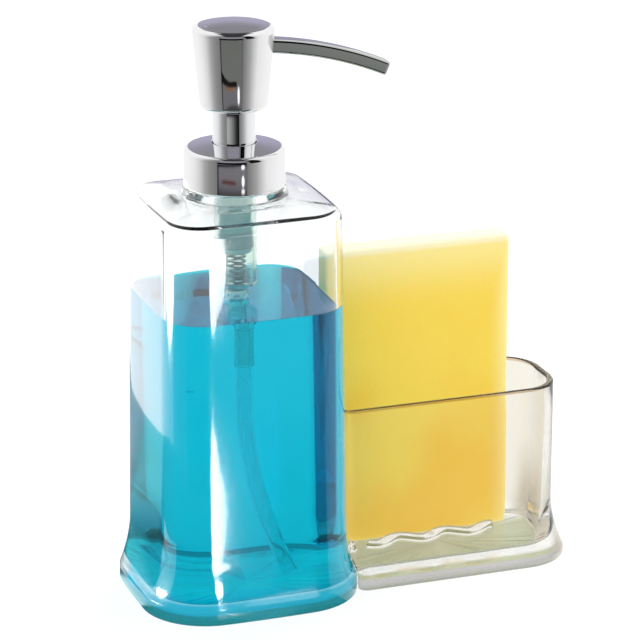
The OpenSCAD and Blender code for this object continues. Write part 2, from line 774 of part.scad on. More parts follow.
// Chrome shell of the head: a tapered cup, upside down, with a low crown
function crown(r, h, z, steps) = [for (i = [0:steps])
    let (x = r * (1 - i / steps))
    [x, z + h * (1 - pow(x / r, 2))]];
module head_shell() {
    rim_in_r = head_top_r - head_edge_r;
    edge = [for (i = [0:6])
        let (a = i * 15)
        [rim_in_r + head_edge_r * cos(a), head_edge_z + head_edge_r * sin(a)]];
    inner_r = head_top_r - head_wall;
    color([0.8, 0.81, 0.84])
        difference() {
            rotate_extrude()
                polygon(concat(foot_arc(head_foot_r), edge, crown(rim_in_r, crown_h, head_top_z, 6),
                               [[0, head_top_z], [rim_in_r, head_top_z - head_wall], [inner_r, head_edge_z]],
                               reversed(foot_arc(head_foot_r - head_wall))));
            spout_arc(-lay_gap, spout_start, spout_end);
        }
}

// Moulded core: closes the head, holds the stem and leads to the spout
module head_core() {
    low_r = head_low_r - head_wall - lay_gap + head_taper * (core_z - head_z);
    high_r = head_top_r - head_wall - lay_gap;
    top_z = head_edge_z - core_top_gap;
    channel_r = 1.4;
    socket_r = stem_r + run_gap;
    color([0.92, 0.93, 0.93])
        difference() {
            rotate_extrude()
                polygon([[0, core_boss_z], [core_boss_r, core_boss_z], [core_boss_r, core_z],
                         [low_r, core_z], [high_r, top_z], [0, top_z]]);
            translate([0, 0, core_boss_z - over])
                cylinder(r = socket_r, h = stem_top_z - core_boss_z + over + lay_gap);
            translate([0, 0, stem_top_z - over]) cylinder(r = channel_r, h = spout_z - stem_top_z + over);
            translate([0, 0, spout_z]) rotate([0, 90, 0]) cylinder(r = channel_r, h = spout_in_x + over);
            spout_arc(-lay_gap, spout_start, spout_end);
        }
}

// Ring that rests on the head's lip and runs on the sleeve
module head_ring() {
    z = head_z + head_wall + lay_gap;
    color([0.6, 0.62, 0.64]) tube(foot_centre_x, sleeve_r + air_gap, z, z + ring_h);
}

// Sponge with softly rounded edges, pressed in beside the flare of the bottle's foot
function sponge_ring(z, draw) =
    let (tub_side_x = near_x(min(sponge_foot_z + z, flare_z), 0) + lay_gap + near_wall,
         side_x = max(near_x(flare_z, 0) + lay_gap + near_wall + sponge_near_gap, tub_side_x + air_gap),
         half_x = (sponge_far_x - side_x) / 2,
         ring = outline(half_x - draw, sponge_t / 2 - draw, sponge_corner_r, z))
    [for (p = ring) p + [(sponge_far_x + side_x) / 2, 0, 0]];
module sponge() {
    angles = [for (i = [0:3]) i * 30];
    low = [for (a = angles) sponge_ring(sponge_r * (1 - cos(a)), sponge_r * (1 - sin(a)))];
    side = [for (i = [1:flare_steps]) sponge_ring(sponge_r + (flare_z - sponge_r) * i / flare_steps, 0)];
    high = [for (a = reversed(angles)) sponge_ring(sponge_h - sponge_r * (1 - cos(a)), sponge_r * (1 - sin(a)))];
    color([0.93, 0.83, 0.35])
        translate([0, sponge_back_y - sponge_t / 2, sponge_foot_z])
            skin(concat(low, side, high));
}

bottle_shell();
bottle_base();
soap_fill();
sponge_tub();
pump_cylinder();
cylinder_gasket();
stem_guide();
stem_sleeve();
dip_tube();
ball_cage();
return_spring();
inlet_ball();
collar_cap();
collar_ring();
piston();
piston_seal();
piston_stem();
outlet_ball();
head_shell();
head_core();
head_ring();
spout();
sponge();
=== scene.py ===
import math

import bmesh
import bpy
import numpy as np
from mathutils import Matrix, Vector, noise


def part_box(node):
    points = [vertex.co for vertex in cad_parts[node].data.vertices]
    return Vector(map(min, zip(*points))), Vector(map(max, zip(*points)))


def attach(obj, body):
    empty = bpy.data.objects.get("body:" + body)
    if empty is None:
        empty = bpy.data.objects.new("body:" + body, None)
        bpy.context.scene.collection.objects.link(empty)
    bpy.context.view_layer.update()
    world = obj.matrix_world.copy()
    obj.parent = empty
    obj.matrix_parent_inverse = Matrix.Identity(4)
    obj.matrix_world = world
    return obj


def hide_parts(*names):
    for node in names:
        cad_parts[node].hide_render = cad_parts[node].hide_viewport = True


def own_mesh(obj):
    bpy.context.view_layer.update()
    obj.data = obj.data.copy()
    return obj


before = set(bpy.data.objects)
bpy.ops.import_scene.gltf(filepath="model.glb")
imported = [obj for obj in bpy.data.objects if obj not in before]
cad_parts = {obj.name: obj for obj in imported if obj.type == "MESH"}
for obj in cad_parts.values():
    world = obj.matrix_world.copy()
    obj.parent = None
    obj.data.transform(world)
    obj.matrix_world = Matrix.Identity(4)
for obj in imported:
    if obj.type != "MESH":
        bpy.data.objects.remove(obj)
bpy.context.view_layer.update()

scene = bpy.context.scene
mm = 0.001


# The camera comes first
cameraView = {"place": (-0.3221, -0.9921, 0.4459), "aim": (0.0268, -0.0095, 0.0954),
              "lens": 183.4, "sensor": 36.0}


def aimAt(thing, place, aim):
    thing.location = place
    thing.rotation_euler = (Vector(aim) - Vector(place)).to_track_quat("-Z", "Y").to_euler()


def makeCamera(view):
    lens = bpy.data.cameras.new("camera")
    lens.lens, lens.sensor_width = view["lens"], view["sensor"]
    camera = bpy.data.objects.new("camera", lens)
    scene.collection.objects.link(camera)
    aimAt(camera, view["place"], view["aim"])
    scene.camera = camera


makeCamera(cameraView)
scene.view_settings.view_transform = "Standard"
scene.cycles.max_bounces = 24
scene.cycles.transmission_bounces = 24
scene.cycles.glossy_bounces = 8
scene.cycles.transparent_max_bounces = 24
print("camera ready")


# Node trees: an expression on wires adds its Math nodes, and make() adds any other node
class Wire:
    def __init__(self, net, socket):
        self.net = net
        self.socket = socket

    def sums(self, operation, other, flipped=False):
        pair = (other, self) if flipped else (self, other)
        return self.net.number(operation, *pair)

    def __add__(self, other): return self.sums("ADD", other)
    def __sub__(self, other): return self.sums("SUBTRACT", other)
    def __rsub__(self, other): return self.sums("SUBTRACT", other, True)
    def __mul__(self, other): return self.sums("MULTIPLY", other)
    def __truediv__(self, other): return self.sums("DIVIDE", other)
    def __pow__(self, other): return self.sums("POWER", other)


class Net:
    def __init__(self, tree):
        self.tree = tree

    def make(self, kind, settings=None, values=None, out=0):
        node = self.tree.nodes.new(kind)
        for name, value in (settings or {}).items():
            if name == "stops":
                self.setStops(node.color_ramp, value)
            else:
                setattr(node, name, value)
        for key, value in (values or {}).items():
            self.plug(node.inputs[key], value)
        return Wire(self, node.outputs[out]) if len(node.outputs) else None

    def plug(self, socket, value):
        if isinstance(value, Wire):
            self.tree.links.new(value.socket, socket)
        elif socket.type == "RGBA" and len(value) == 3:
            socket.default_value = (*value, 1)
        else:
            socket.default_value = value

    def setStops(self, ramp, stops):
        while len(ramp.elements) < len(stops):
            ramp.elements.new(1)
        for element, (place, colour) in zip(ramp.elements, stops):
            element.position = place
            element.color = (*colour, 1)

    def number(self, operation, *values):
        if any(isinstance(v, Wire) and v.socket.type == "VECTOR" for v in values):
            spread = [v if isinstance(v, Wire) or isinstance(v, tuple) else (v, v, v) for v in values]
            return self.make("ShaderNodeVectorMath", {"operation": operation}, dict(enumerate(spread)))
        return self.make("ShaderNodeMath", {"operation": operation}, dict(enumerate(values)))

    # Goes from low to high as a value goes from one number to another
    def ramp(self, value, start, end, low=0.0, high=1.0, way="SMOOTHSTEP"):
        return self.make("ShaderNodeMapRange", {"interpolation_type": way},
                         {"Value": value, 1: start, 2: end, 3: low, 4: high})

    # 1 between a rising ramp and a falling one, each as (start, end)
    def band(self, value, rise, fall):
        return self.ramp(value, *rise) * self.ramp(value, *fall, 1.0, 0.0)

    # Goes through colours, each given as (value, colour), as a value goes from start to end
    def colours(self, value, start, end, stops):
        shares = [((stop - start) / (end - start), colour) for stop, colour in stops]
        share = self.ramp(value, start, end, way="LINEAR")
        return self.make("ShaderNodeValToRGB", {"stops": shares}, {0: share})

    def blend(self, factor, first, second):
        return self.make("ShaderNodeMix", {"data_type": "RGBA"}, {0: factor, 6: first, 7: second}, out=2)

    def parts(self, vector):
        whole = self.make("ShaderNodeSeparateXYZ", values={0: vector})
        return [Wire(self, socket) for socket in whole.socket.node.outputs]

    def join(self, x, y, z):
        return self.make("ShaderNodeCombineXYZ", values={0: x, 1: y, 2: z})

    def noise(self, place, scale, detail=2.0):
        return self.make("ShaderNodeTexNoise", values={"Vector": place, "Scale": scale, "Detail": detail})

    def cells(self, place, scale):
        return self.make("ShaderNodeTexVoronoi", values={"Vector": place, "Scale": scale}, out="Distance")

    def bump(self, height, strength, distance):
        return self.make("ShaderNodeBump",
                         values={"Height": height, "Strength": strength, "Distance": distance})

    # Distance from the pump's axis, and angle round it from the camera's side
    def roundAxis(self, place):
        x, y, _ = self.parts(place)
        turn = self.number("ARCTAN2", y, x) * (180 / math.pi) - studio["cameraAngle"]
        return self.number("SQRT", x * x + y * y), self.number("WRAP", turn, 180, -180)


def clearedNet(owner):
    owner.use_nodes = True
    owner.node_tree.nodes.clear()
    return Net(owner.node_tree)


# Studio as shiny surfaces see it: white all round a dark front. Its angles are in degrees, along from the
# camera's side and above the horizon, and each pair is where one tone goes over into the next
studio = {"cameraAngle": -109.55, "darkLeft": -37.0, "darkRight": 29.0, "edge": 2.0,
          "sides": ((-180, 1.0), (-125, 1.0), (-101, 0.90), (-84, 0.72), (-69, 0.42), (-56, 0.29),
                    (-37, 0.20), (29, 0.18), (40, 0.28), (52, 0.40), (65, 0.63), (80, 0.88),
                    (96, 0.94), (120, 1.0), (180, 1.0)),
          "darkLow": (0.165, 0.175, 0.165), "darkMiddle": (0.004, 0.004, 0.005),
          "darkHigh": (0.30, 0.29, 0.33), "lowFade": (-22, -19), "highFade": (12, 30),
          "lineAbove": ((-6, -2), (56, 62)), "lineAlong": ((36, 37.5), (60, 66)),
          "lilac": (0.43, 0.41, 0.54), "deepLilac": (0.27, 0.265, 0.29), "frontLilac": (0.09, 0.09, 0.095),
          "whiteFade": (-12, -8), "deepFade": (8, 29), "frontFade": (34, 43),
          "backLow": (0, 17, 174.0, 170.8), "backHigh": (20, 34, 0.0, 5.3), "backEdge": 1.2,
          "overhead": (0.045, 0.045, 0.048), "overheadFade": (50, 58), "overheadSide": (0.24, 0.34),
          "seenThrough": 0.86, "floorGlow": 0.80, "floorColour": 0.25, "floorSize": 4.0}


def studioLook(net, along, above, setup):
    edge, toRadians = setup["edge"], math.pi / 180
    inside = net.ramp(along, setup["darkLeft"] - edge, setup["darkLeft"] + edge)
    past = net.ramp(along, setup["darkRight"] - edge, setup["darkRight"] + edge)
    dark = inside * (1 - past)
    front = net.blend(net.ramp(above, *setup["lowFade"]), setup["darkLow"], setup["darkMiddle"])
    front = net.blend(net.ramp(above, *setup["highFade"]), front, setup["darkHigh"])
    line = net.band(above, *setup["lineAbove"]) * net.band(along, *setup["lineAlong"])
    sides = net.colours(along, -180, 180, [(angle, (level,) * 3) for angle, level in setup["sides"]])
    limit = net.ramp(above, *setup["backLow"], "LINEAR") - net.ramp(above, *setup["backHigh"])
    far = net.ramp(net.number("ABSOLUTE", along) - limit, 0.0, setup["backEdge"])
    back = net.blend(net.ramp(above, *setup["deepFade"]), setup["lilac"], setup["deepLilac"])
    back = net.blend(net.ramp(above, *setup["frontFade"]), back, setup["frontLilac"])
    back = net.blend(net.ramp(above, *setup["whiteFade"]), (1, 1, 1), back)
    around = net.blend(line, net.blend(far, sides, back), setup["darkMiddle"])
    across = net.number("COSINE", above * toRadians) * net.number("SINE", along * toRadians)
    narrow = net.ramp(net.number("ABSOLUTE", across), *setup["overheadSide"], 1.0, 0.0)
    overhead = net.ramp(above, *setup["overheadFade"]) * narrow
    around = net.blend(overhead, around, setup["overhead"])
    front = net.blend(overhead, front, setup["overhead"])
    return net.blend(dark, around, front), net.blend(dark, (1, 1, 1), front)


def makeWorld(setup):
    world = bpy.data.worlds.new("studio")
    scene.world = world
    net = clearedNet(world)
    direction = net.make("ShaderNodeTexCoord", out="Generated")
    along = net.roundAxis(direction)[1]
    above = net.number("ARCSINE", net.parts(direction)[2]) * (180 / math.pi)
    look, frontOnly = studioLook(net, along, above, setup)
    pale = net.blend(setup["seenThrough"], frontOnly, (1, 1, 1))
    ray = net.make("ShaderNodeLightPath").socket.node.outputs
    colour = net.blend(Wire(net, ray["Is Glossy Ray"]), (1, 1, 1), look)
    colour = net.blend(Wire(net, ray["Is Transmission Ray"]), colour, pale)
    colour = net.blend(Wire(net, ray["Is Camera Ray"]), colour, (1, 1, 1))
    shine = net.make("ShaderNodeBackground", values={"Color": colour, "Strength": 1.0})
    net.make("ShaderNodeOutputWorld", values={"Surface": shine})


def makeFloor(setup):
    half = setup["floorSize"] / 2
    mesh = bpy.data.meshes.new("floor")
    corners = [(-half, -half, 0), (half, -half, 0), (half, half, 0), (-half, half, 0)]
    mesh.from_pydata(corners, [], [(0, 1, 2, 3)])
    floor = bpy.data.objects.new("floor", mesh)
    scene.collection.objects.link(floor)
    material = bpy.data.materials.new("paleFloor")
    net = clearedNet(material)
    speck = net.noise(net.make("ShaderNodeTexCoord", out="Object"), 30)
    level = net.ramp(speck, 0.3, 0.7, setup["floorColour"] * 0.98, setup["floorColour"])
    shade = net.make("ShaderNodeBsdfDiffuse", values={"Color": net.join(level, level, level)})
    glow = net.make("ShaderNodeEmission", values={"Color": (1, 1, 1), "Strength": setup["floorGlow"]})
    both = net.make("ShaderNodeAddShader", values={0: shade, 1: glow})
    net.make("ShaderNodeOutputMaterial", values={"Surface": both})
    mesh.materials.append(material)
    floor.visible_glossy = False
    floor.visible_shadow = False


# Soft lamp over the back right, which brightens the sponge's top and far edge
lampSet = {"place": (0.55, 0.45, 0.75), "aim": (0.05, 0.0, 0.09), "size": 0.5, "power": 5.0}
# Table, seen only in reflections. Its bands are (distance in m, colour), and each mark on it lies between
# two distances and two angles
tableSet = {"near": 0.27, "far": 0.645, "height": 0.0006, "left": -37.0, "right": 29.0,
            "bands": ((0.27, (0.05, 0.05, 0.05)), (0.3655, (0.05, 0.05, 0.05)), (0.369, (0.16, 0.155, 0.17)),
                      (0.388, (0.17, 0.165, 0.175)), (0.392, (0.15, 0.155, 0.145)),
                      (0.400, (0.155, 0.165, 0.15)), (0.440, (0.145, 0.155, 0.14)),
                      (0.470, (0.12, 0.12, 0.12)), (0.505, (0.06, 0.06, 0.065)),
                      (0.517, (0.14, 0.135, 0.15)), (0.535, (0.19, 0.18, 0.195)),
                      (0.5555, (0.19, 0.18, 0.20)), (0.5575, (0.008, 0.008, 0.008)),
                      (0.645, (0.008, 0.008, 0.008))),
            "hookColour": (0.006, 0.006, 0.007), "hookNear": (0.3866, 0.3874), "hookFar": (0.3936, 0.3944),
            "hookEnd": (10, 13), "hookBend": 0.0150, "hookGrow": 0.008, "bendFrom": -5, "bendOver": 31,
            "brown": (0.26, 0.13, 0.06), "brownAcross": ((0.3818, 0.3832), (0.3866, 0.3874)),
            "brownTurn": ((-24, -18), (0, 6)),
            "red": (0.11, 0.035, 0.035), "redAcross": ((0.521, 0.524), (0.528, 0.531)),
            "redTurn": ((-30, -22), (0, 8)),
            "sleeveLeft": (0.42, 0.43, 0.42), "sleeveRight": (0.012, 0.012, 0.012),
            "sleeveAcross": ((0.573, 0.577), (0.628, 0.632)), "sleeveTurn": (-37, 22),
            "borderLeft": (-35, -32, 1.0, 0.0), "borderRight": (27, 29, 0.0, 0.6), "border": 0.7}
# White cards on the table, which glow and are seen only in reflections, as the highlights on the head and
# collar. Each is given as (angle, spread, near, far)
cardSet = {"height": 0.0012, "steps": 24, "cards": ((17.5, 7.5, 0.3683, 0.388), (20.5, 8.0, 0.548, 0.557),
                                                    (20.5, 6.5, 0.5187, 0.539), (20.5, 8.0, 0.505, 0.515))}
# Two parts of a dark ring close round the object, seen only in reflections: the object's painted shadow on
# the floor. The left one reaches as far as (angle, distance) says, is pale at its end and glows in two
# places, which are painted light
shadowRingSet = {"near": 0.03, "height": 0.0003, "colour": (0.02, 0.10, 0.11), "edge": (0.10, 0.30, 0.32),
           "fade": (0.09, 0.2),
           "paleNear": (0.22, 0.34, 0.38), "pale": (0.50, 0.62, 0.65), "paleFade": (0.07, 0.15),
           "paleTurn": (-138, -129, 1.0, 0.0),
           "foot": (1.1, 1.4, 1.5), "footFade": (0.07, 0.09, 1.0, 0.0), "footTurn": ((-100, -90), (-58, -54)),
           "glow": (0.32, 0.90, 0.90), "glowFade": (0.06, 0.13), "glowTurn": ((-137, -131), (-117, -108)),
           "reach": ((-200, 0.26), (-150, 0.255), (-141, 0.225), (-138, 0.208), (-134.5, 0.195),
                     (-131, 0.186), (-128.5, 0.178), (-114, 0.185), (-99, 0.196), (-82, 0.205),
                     (-60, 0.20), (-40, 0.17), (6, 0.17))}
frontShadowSet = {"near": 0.03, "far": 0.33, "height": 0.0004, "sector": (33.5, 64.0), "fade": (0.15, 0.31),
                "colour": (0.004, 0.03, 0.035), "edge": (0.24, 0.25, 0.26)}
# Lights seen only in the bottle: two lens shapes at its front corner, small ones in its foot, one at its left
# corner and a window
stripSets = {
    "lowerStreak": {"angle": 25.0, "distance": 0.60, "low": -0.222, "high": -0.122, "width": 0.140,
                    "power": 0.95},
    "upperStreak": {"angle": 24.6, "distance": 0.25, "low": 0.034, "high": 0.092, "width": 0.042,
                    "power": 0.14},
    "footBlob": {"angle": 12.5, "distance": 0.085, "low": 0.0052, "high": 0.0080, "width": 0.0107,
                 "power": 0.0036},
    "leftFoot": {"angle": -73.0, "distance": 0.0804, "low": 0.0006, "high": 0.0085, "width": 0.055,
                 "power": 0.0018, "shape": "RECTANGLE"},
    "rightFoot": {"angle": 42.0, "distance": 0.50, "low": 0.001, "high": 0.12, "width": 0.19, "power": 0.16},
    "cornerStreak": {"angle": -90.0, "distance": 0.60, "low": -0.090, "high": 0.02, "width": 0.36,
                     "power": 1.9},
    "leftWindow": {"angle": -125.0, "distance": 0.62, "low": -0.45, "high": 0.45, "width": 1.30, "power": 3.2,
                   "shape": "RECTANGLE"}}


def makeLamp(setup):
    data = bpy.data.lights.new("softLamp", "AREA")
    data.shape, data.size, data.energy = "DISK", setup["size"], setup["power"]
    lamp = bpy.data.objects.new("softLamp", data)
    scene.collection.objects.link(lamp)
    aimAt(lamp, setup["place"], setup["aim"])
    lamp.visible_glossy = False
    lamp.visible_transmission = False


def roundPoint(angle, distance, height):
    turn = math.radians(studio["cameraAngle"] + angle)
    return Vector((distance * math.cos(turn), distance * math.sin(turn), height))


# Flat mesh round the axis, from a near distance to one that may change with the angle
def sector(near, far, height, start, end, steps):
    corners, faces = [], []
    for i in range(steps + 1):
        angle = start + (end - start) * i / steps
        reach = far if isinstance(far, float) else float(np.interp(angle, *zip(*far)))
        corners += [roundPoint(angle, near, height), roundPoint(angle, reach, height)]
        if i:
            k = 2 * i
            faces.append((k - 2, k - 1, k + 1, k))
    return corners, faces


def seenInChrome(name, corners, faces, build):
    mesh = bpy.data.meshes.new(name)
    mesh.from_pydata(corners, [], faces)
    piece = bpy.data.objects.new(name, mesh)
    scene.collection.objects.link(piece)
    material = bpy.data.materials.new(name + "Finish")
    net = clearedNet(material)
    colour = build(net, net.make("ShaderNodeTexCoord", out="Object"))
    glow = net.make("ShaderNodeEmission", values={"Color": colour, "Strength": 1.0})
    net.make("ShaderNodeOutputMaterial", values={"Surface": glow})
    mesh.materials.append(material)
    piece.visible_camera = piece.visible_diffuse = piece.visible_transmission = piece.visible_shadow = False


def makeTable(setup):
    near, far = setup["near"], setup["far"]
    corners, faces = sector(near, far, setup["height"], setup["left"], setup["right"], 24)

    def build(net, place):
        distance, turn = net.roundAxis(place)
        look = net.colours(distance, near, far, setup["bands"])
        left, right = net.ramp(turn, *setup["borderLeft"]), net.ramp(turn, *setup["borderRight"])
        look = net.blend(net.number("MAXIMUM", left, right) * setup["border"], look, setup["hookColour"])
        across = net.blend(net.ramp(turn, *setup["sleeveTurn"]), setup["sleeveLeft"], setup["sleeveRight"])
        look = net.blend(net.band(distance, *setup["sleeveAcross"]), look, across)
        bent = net.number("MINIMUM", turn - setup["bendFrom"], 0.0) / setup["bendOver"]
        slant = distance - bent * bent * setup["hookBend"]
        brown = net.band(slant, *setup["brownAcross"]) * net.band(turn, *setup["brownTurn"])
        red = net.band(distance, *setup["redAcross"]) * net.band(turn, *setup["redTurn"])
        look = net.blend(red, net.blend(brown, look, setup["brown"]), setup["red"])
        hook = net.ramp(slant, *setup["hookNear"]) * net.ramp(turn, *setup["hookEnd"], 1.0, 0.0)
        hook = hook * net.ramp(slant - bent * bent * setup["hookGrow"], *setup["hookFar"], 1.0, 0.0)
        return net.blend(hook, look, setup["hookColour"])
    seenInChrome("table", corners, faces, build)


def makeShadowRing(setup):
    start, end = setup["reach"][0][0], setup["reach"][-1][0]
    corners, faces = sector(setup["near"], setup["reach"], setup["height"], start, end, 60)

    def build(net, place):
        distance, turn = net.roundAxis(place)
        # Painted shadow of the object on the floor, with painted light in two places
        plain = net.blend(net.ramp(distance, *setup["fade"]), setup["colour"], setup["edge"])
        foot = net.ramp(distance, *setup["footFade"]) * net.band(turn, *setup["footTurn"])
        plain = net.blend(foot, plain, setup["foot"])
        pale = net.blend(net.ramp(distance, *setup["paleFade"]), setup["paleNear"], setup["pale"])
        glow = net.band(turn, *setup["glowTurn"]) * net.ramp(distance, *setup["glowFade"])
        return net.blend(glow, net.blend(net.ramp(turn, *setup["paleTurn"]), plain, pale), setup["glow"])
    seenInChrome("nearTable", corners, faces, build)


def makeFrontShadow(setup):
    corners, faces = sector(setup["near"], setup["far"], setup["height"], *setup["sector"], 12)

    def build(net, place):
        distance, _ = net.roundAxis(place)
        # Painted shadow of the object on the floor
        return net.blend(net.ramp(distance, *setup["fade"]), setup["colour"], setup["edge"])
    seenInChrome("frontTable", corners, faces, build)


def makeCards(setup):
    corners, faces, steps = [], [], setup["steps"]
    for angle, spread, near, far in setup["cards"]:
        start = len(corners)
        for a in [math.tau * i / steps for i in range(steps)]:
            distance = (near + far) / 2 + (far - near) / 2 * math.cos(a)
            corners.append(roundPoint(angle + spread / 2 * math.sin(a), distance, setup["height"]))
        faces.append(tuple(range(start, start + steps)))

    def build(net, place):
        return net.blend(net.noise(place, 40), (1.2, 1.2, 1.2), (1.0, 1.0, 1.0))
    seenInChrome("cards", corners, faces, build)


def makeStrips(setups, seenIn):
    shown = bpy.data.collections.new("seenInBottle")
    for piece in seenIn:
        shown.objects.link(piece)
    for name, setup in setups.items():
        data = bpy.data.lights.new(name, "AREA")
        data.shape = setup.get("shape", "ELLIPSE")
        data.size, data.size_y, data.energy = setup["width"], setup["high"] - setup["low"], setup["power"]
        strip = bpy.data.objects.new(name, data)
        scene.collection.objects.link(strip)
        middle = (setup["high"] + setup["low"]) / 2
        aimAt(strip, roundPoint(setup["angle"], setup["distance"], middle), (0, 0, middle))
        strip.visible_diffuse = False
        strip.visible_transmission = False
        strip.visible_camera = False
        strip.light_linking.receiver_collection = shown


makeWorld(studio)
makeFloor(studio)
makeLamp(lampSet)
makeTable(tableSet)
makeShadowRing(shadowRingSet)
makeFrontShadow(frontShadowSet)
makeCards(cardSet)
print("studio ready")


# Materials. Patterns read Object coordinates, in metres
def newMaterial(name, build):
    material = bpy.data.materials.new(name)
    net = clearedNet(material)
    place = net.make("ShaderNodeTexCoord", out="Object")
    surface, volume = build(net, place)
    ends = {"Surface": surface}
    if volume:
        ends["Volume"] = volume
    net.make("ShaderNodeOutputMaterial", values=ends)
    return material


def principled(net, values):
    return net.make("ShaderNodeBsdfPrincipled", {"distribution": "GGX"}, values)


# Colour that a pattern darkens to a share of itself in patches
def mottled(net, pattern, colour, share):
    return net.blend(net.ramp(pattern, 0.3, 0.7), colour, tuple(c * share for c in colour))


# Light reaches what is behind clear plastic
def letsLightThrough(net, surface, tint):
    ray = net.make("ShaderNodeLightPath").socket.node.outputs
    clear = net.make("ShaderNodeBsdfTransparent", values={"Color": tint})
    lamps = net.make("ShaderNodeMixShader", values={0: Wire(net, ray["Is Shadow Ray"]), 1: surface, 2: clear})
    return net.make("ShaderNodeMixShader", values={0: Wire(net, ray["Is Diffuse Ray"]), 1: lamps, 2: clear})


# Clear plastic. Its foot is painted by height: each stop is (height in m, colour), and the last one is the
# whole body's. The bottle's dark and blue foot bands are painted shade and painted refraction of the soap,
# and the tub's dark foot is painted shade. The attribute skin is 1 on the outside, which alone takes up that
# painted colour and the shine. The tub's far end and rim have painted colours of their own: painted shade and
# painted refraction of the sponge
paintedFootLight = {"span": (-0.001, 0.014), "front": (0.004, 0.014), "edge": (0.0040, 0.0044)}
bottlePlastic = {"bendsBy": 1.48, "shine": 0.6, "wave": 0.03,
                 "stops": ((0.0, (0.25, 0.80, 0.88)), (0.0003, (0.001, 0.10, 0.125)),
                           (0.0036, (0.001, 0.11, 0.14)), (0.0042, (0.001, 0.22, 0.38)),
                           (0.0070, (0.002, 0.30, 0.50)), (0.0095, (0.20, 0.75, 0.90)),
                           (0.0120, (0.975, 0.99, 0.99)))}
# The tub's foot stops are painted shade; far, end and rim are painted shade and painted refraction of the
# sponge
tubPlastic = {"bendsBy": 1.48, "shine": 0.3, "wave": 0.05,
              "stops": ((0.0, (0.19, 0.21, 0.15)), (0.0006, (0.19, 0.22, 0.18)), (0.0020, (0.31, 0.31, 0.28)),
                        (0.0034, (0.35, 0.33, 0.34)), (0.0040, (0.34, 0.36, 0.18)),
                        (0.0050, (0.36, 0.38, 0.20)), (0.0058, (0.90, 0.91, 0.86)),
                        (0.0085, (0.985, 0.985, 0.975))),
              "far": (0.80, 0.775, 0.71), "farAcross": (0.096, 0.108), "farUp": (0.004, 0.012),
              "end": (0.42, 0.36, 0.27), "endAcross": (0.108, 0.1135), "endUp": (0.012, 0.040),
              "rim": (0.46, 0.32, 0.20), "rimLow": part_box("sponge_tub")[1].z - 0.001}


def clearPlastic(name, look):
    def build(net, place):
        x, y, height = net.parts(place)
        # Painted shade and painted refraction on the foot, by height
        tone = net.colours(height, *paintedFootLight["span"], look["stops"])
        skin = net.make("ShaderNodeAttribute", {"attribute_name": "skin"}, out="Fac")
        # Above the foot's lower edge only the front half takes up its painted colour
        front, edge = net.ramp(y, *paintedFootLight["front"], 1.0, 0.0), net.ramp(height, *paintedFootLight["edge"], 1.0, 0.0)
        tone = net.blend(skin * net.number("MAXIMUM", front, edge), look["stops"][-1][1], tone)
        # Painted shade and painted refraction of the sponge on the tub's far end, end and rim
        if "rim" in look:
            far = net.ramp(x, *look["farAcross"]) * net.ramp(height, *look["farUp"])
            end = net.ramp(x, *look["endAcross"]) * net.ramp(height, *look["endUp"], 1.0, 0.0)
            tone = net.blend(end, net.blend(far, tone, look["far"]), look["end"])
            tone = net.blend(net.ramp(height, look["rimLow"], look["rimLow"] + 0.0004), tone, look["rim"])
        dust = net.ramp(net.noise(place, 900), 0.66, 0.74, 0.0, 0.05)
        surface = principled(net, {"Base Color": tone, "Transmission Weight": 1.0, "IOR": look["bendsBy"],
                                   "Roughness": dust * 0.3, "Coat Weight": skin * look["shine"],
                                   "Coat Roughness": 0.10, "Specular Tint": (0.35, 0.35, 0.35),
                                   "Normal": net.bump(net.noise(place, 28, 1.0), look["wave"], 0.002)})
        return letsLightThrough(net, surface, (0.95, 0.96, 0.96)), None
    return newMaterial(name, build)


soapLook = {"colour": (0.02, 0.61, 0.72), "cloud": (0.04, 0.63, 0.735), "deep": (0.0, 0.60, 0.70),
            "deepFade": (0.015, 0.060), "bendsBy": 1.34, "passes": (0.0, 0.926, 0.962), "density": 69.0}


def liquidSoap(name, look):
    def build(net, place):
        tint = net.blend(net.ramp(net.noise(place, 60), 0.3, 0.7), look["colour"], look["cloud"])
        tint = net.blend(net.ramp(net.parts(place)[2], *look["deepFade"]), look["deep"], tint)
        surface = principled(net, {"Base Color": tint, "Transmission Weight": 1.0, "IOR": look["bendsBy"],
                                   "Roughness": 0.0, "Specular Tint": (0.2, 0.2, 0.2)})
        volume = net.make("ShaderNodeVolumeAbsorption",
                          values={"Color": look["passes"], "Density": look["density"]})
        return letsLightThrough(net, surface, (0.25, 0.75, 0.9)), volume
    return newMaterial(name, build)


def frostedPlastic(name, colour, bendsBy, blur, clear):
    def build(net, place):
        grain = net.noise(place, 1400, 3.0)
        streak = net.noise(net.number("MULTIPLY", place, (1.0, 1.0, 0.12)), 500)
        tone = mottled(net, streak, colour, 0.93)
        surface = principled(net, {"Base Color": tone, "Transmission Weight": clear, "IOR": bendsBy,
                                   "Roughness": net.ramp(grain, 0.2, 0.8, blur * 0.8, blur * 1.2),
                                   "Normal": net.bump(grain, 0.15, 0.0002)})
        return letsLightThrough(net, surface, (0.8, 0.87, 0.85)), None
    return newMaterial(name, build)


def mouldedPlastic(name, colour, blur):
    def build(net, place):
        grain = net.noise(place, 1800)
        flow = net.noise(place, 120)
        tone = mottled(net, flow, colour, 0.9)
        return principled(net, {"Base Color": tone, "IOR": 1.46,
                                "Roughness": net.ramp(flow, 0.2, 0.8, blur * 0.85, blur * 1.15),
                                "Normal": net.bump(grain, 0.12, 0.0001)}), None
    return newMaterial(name, build)


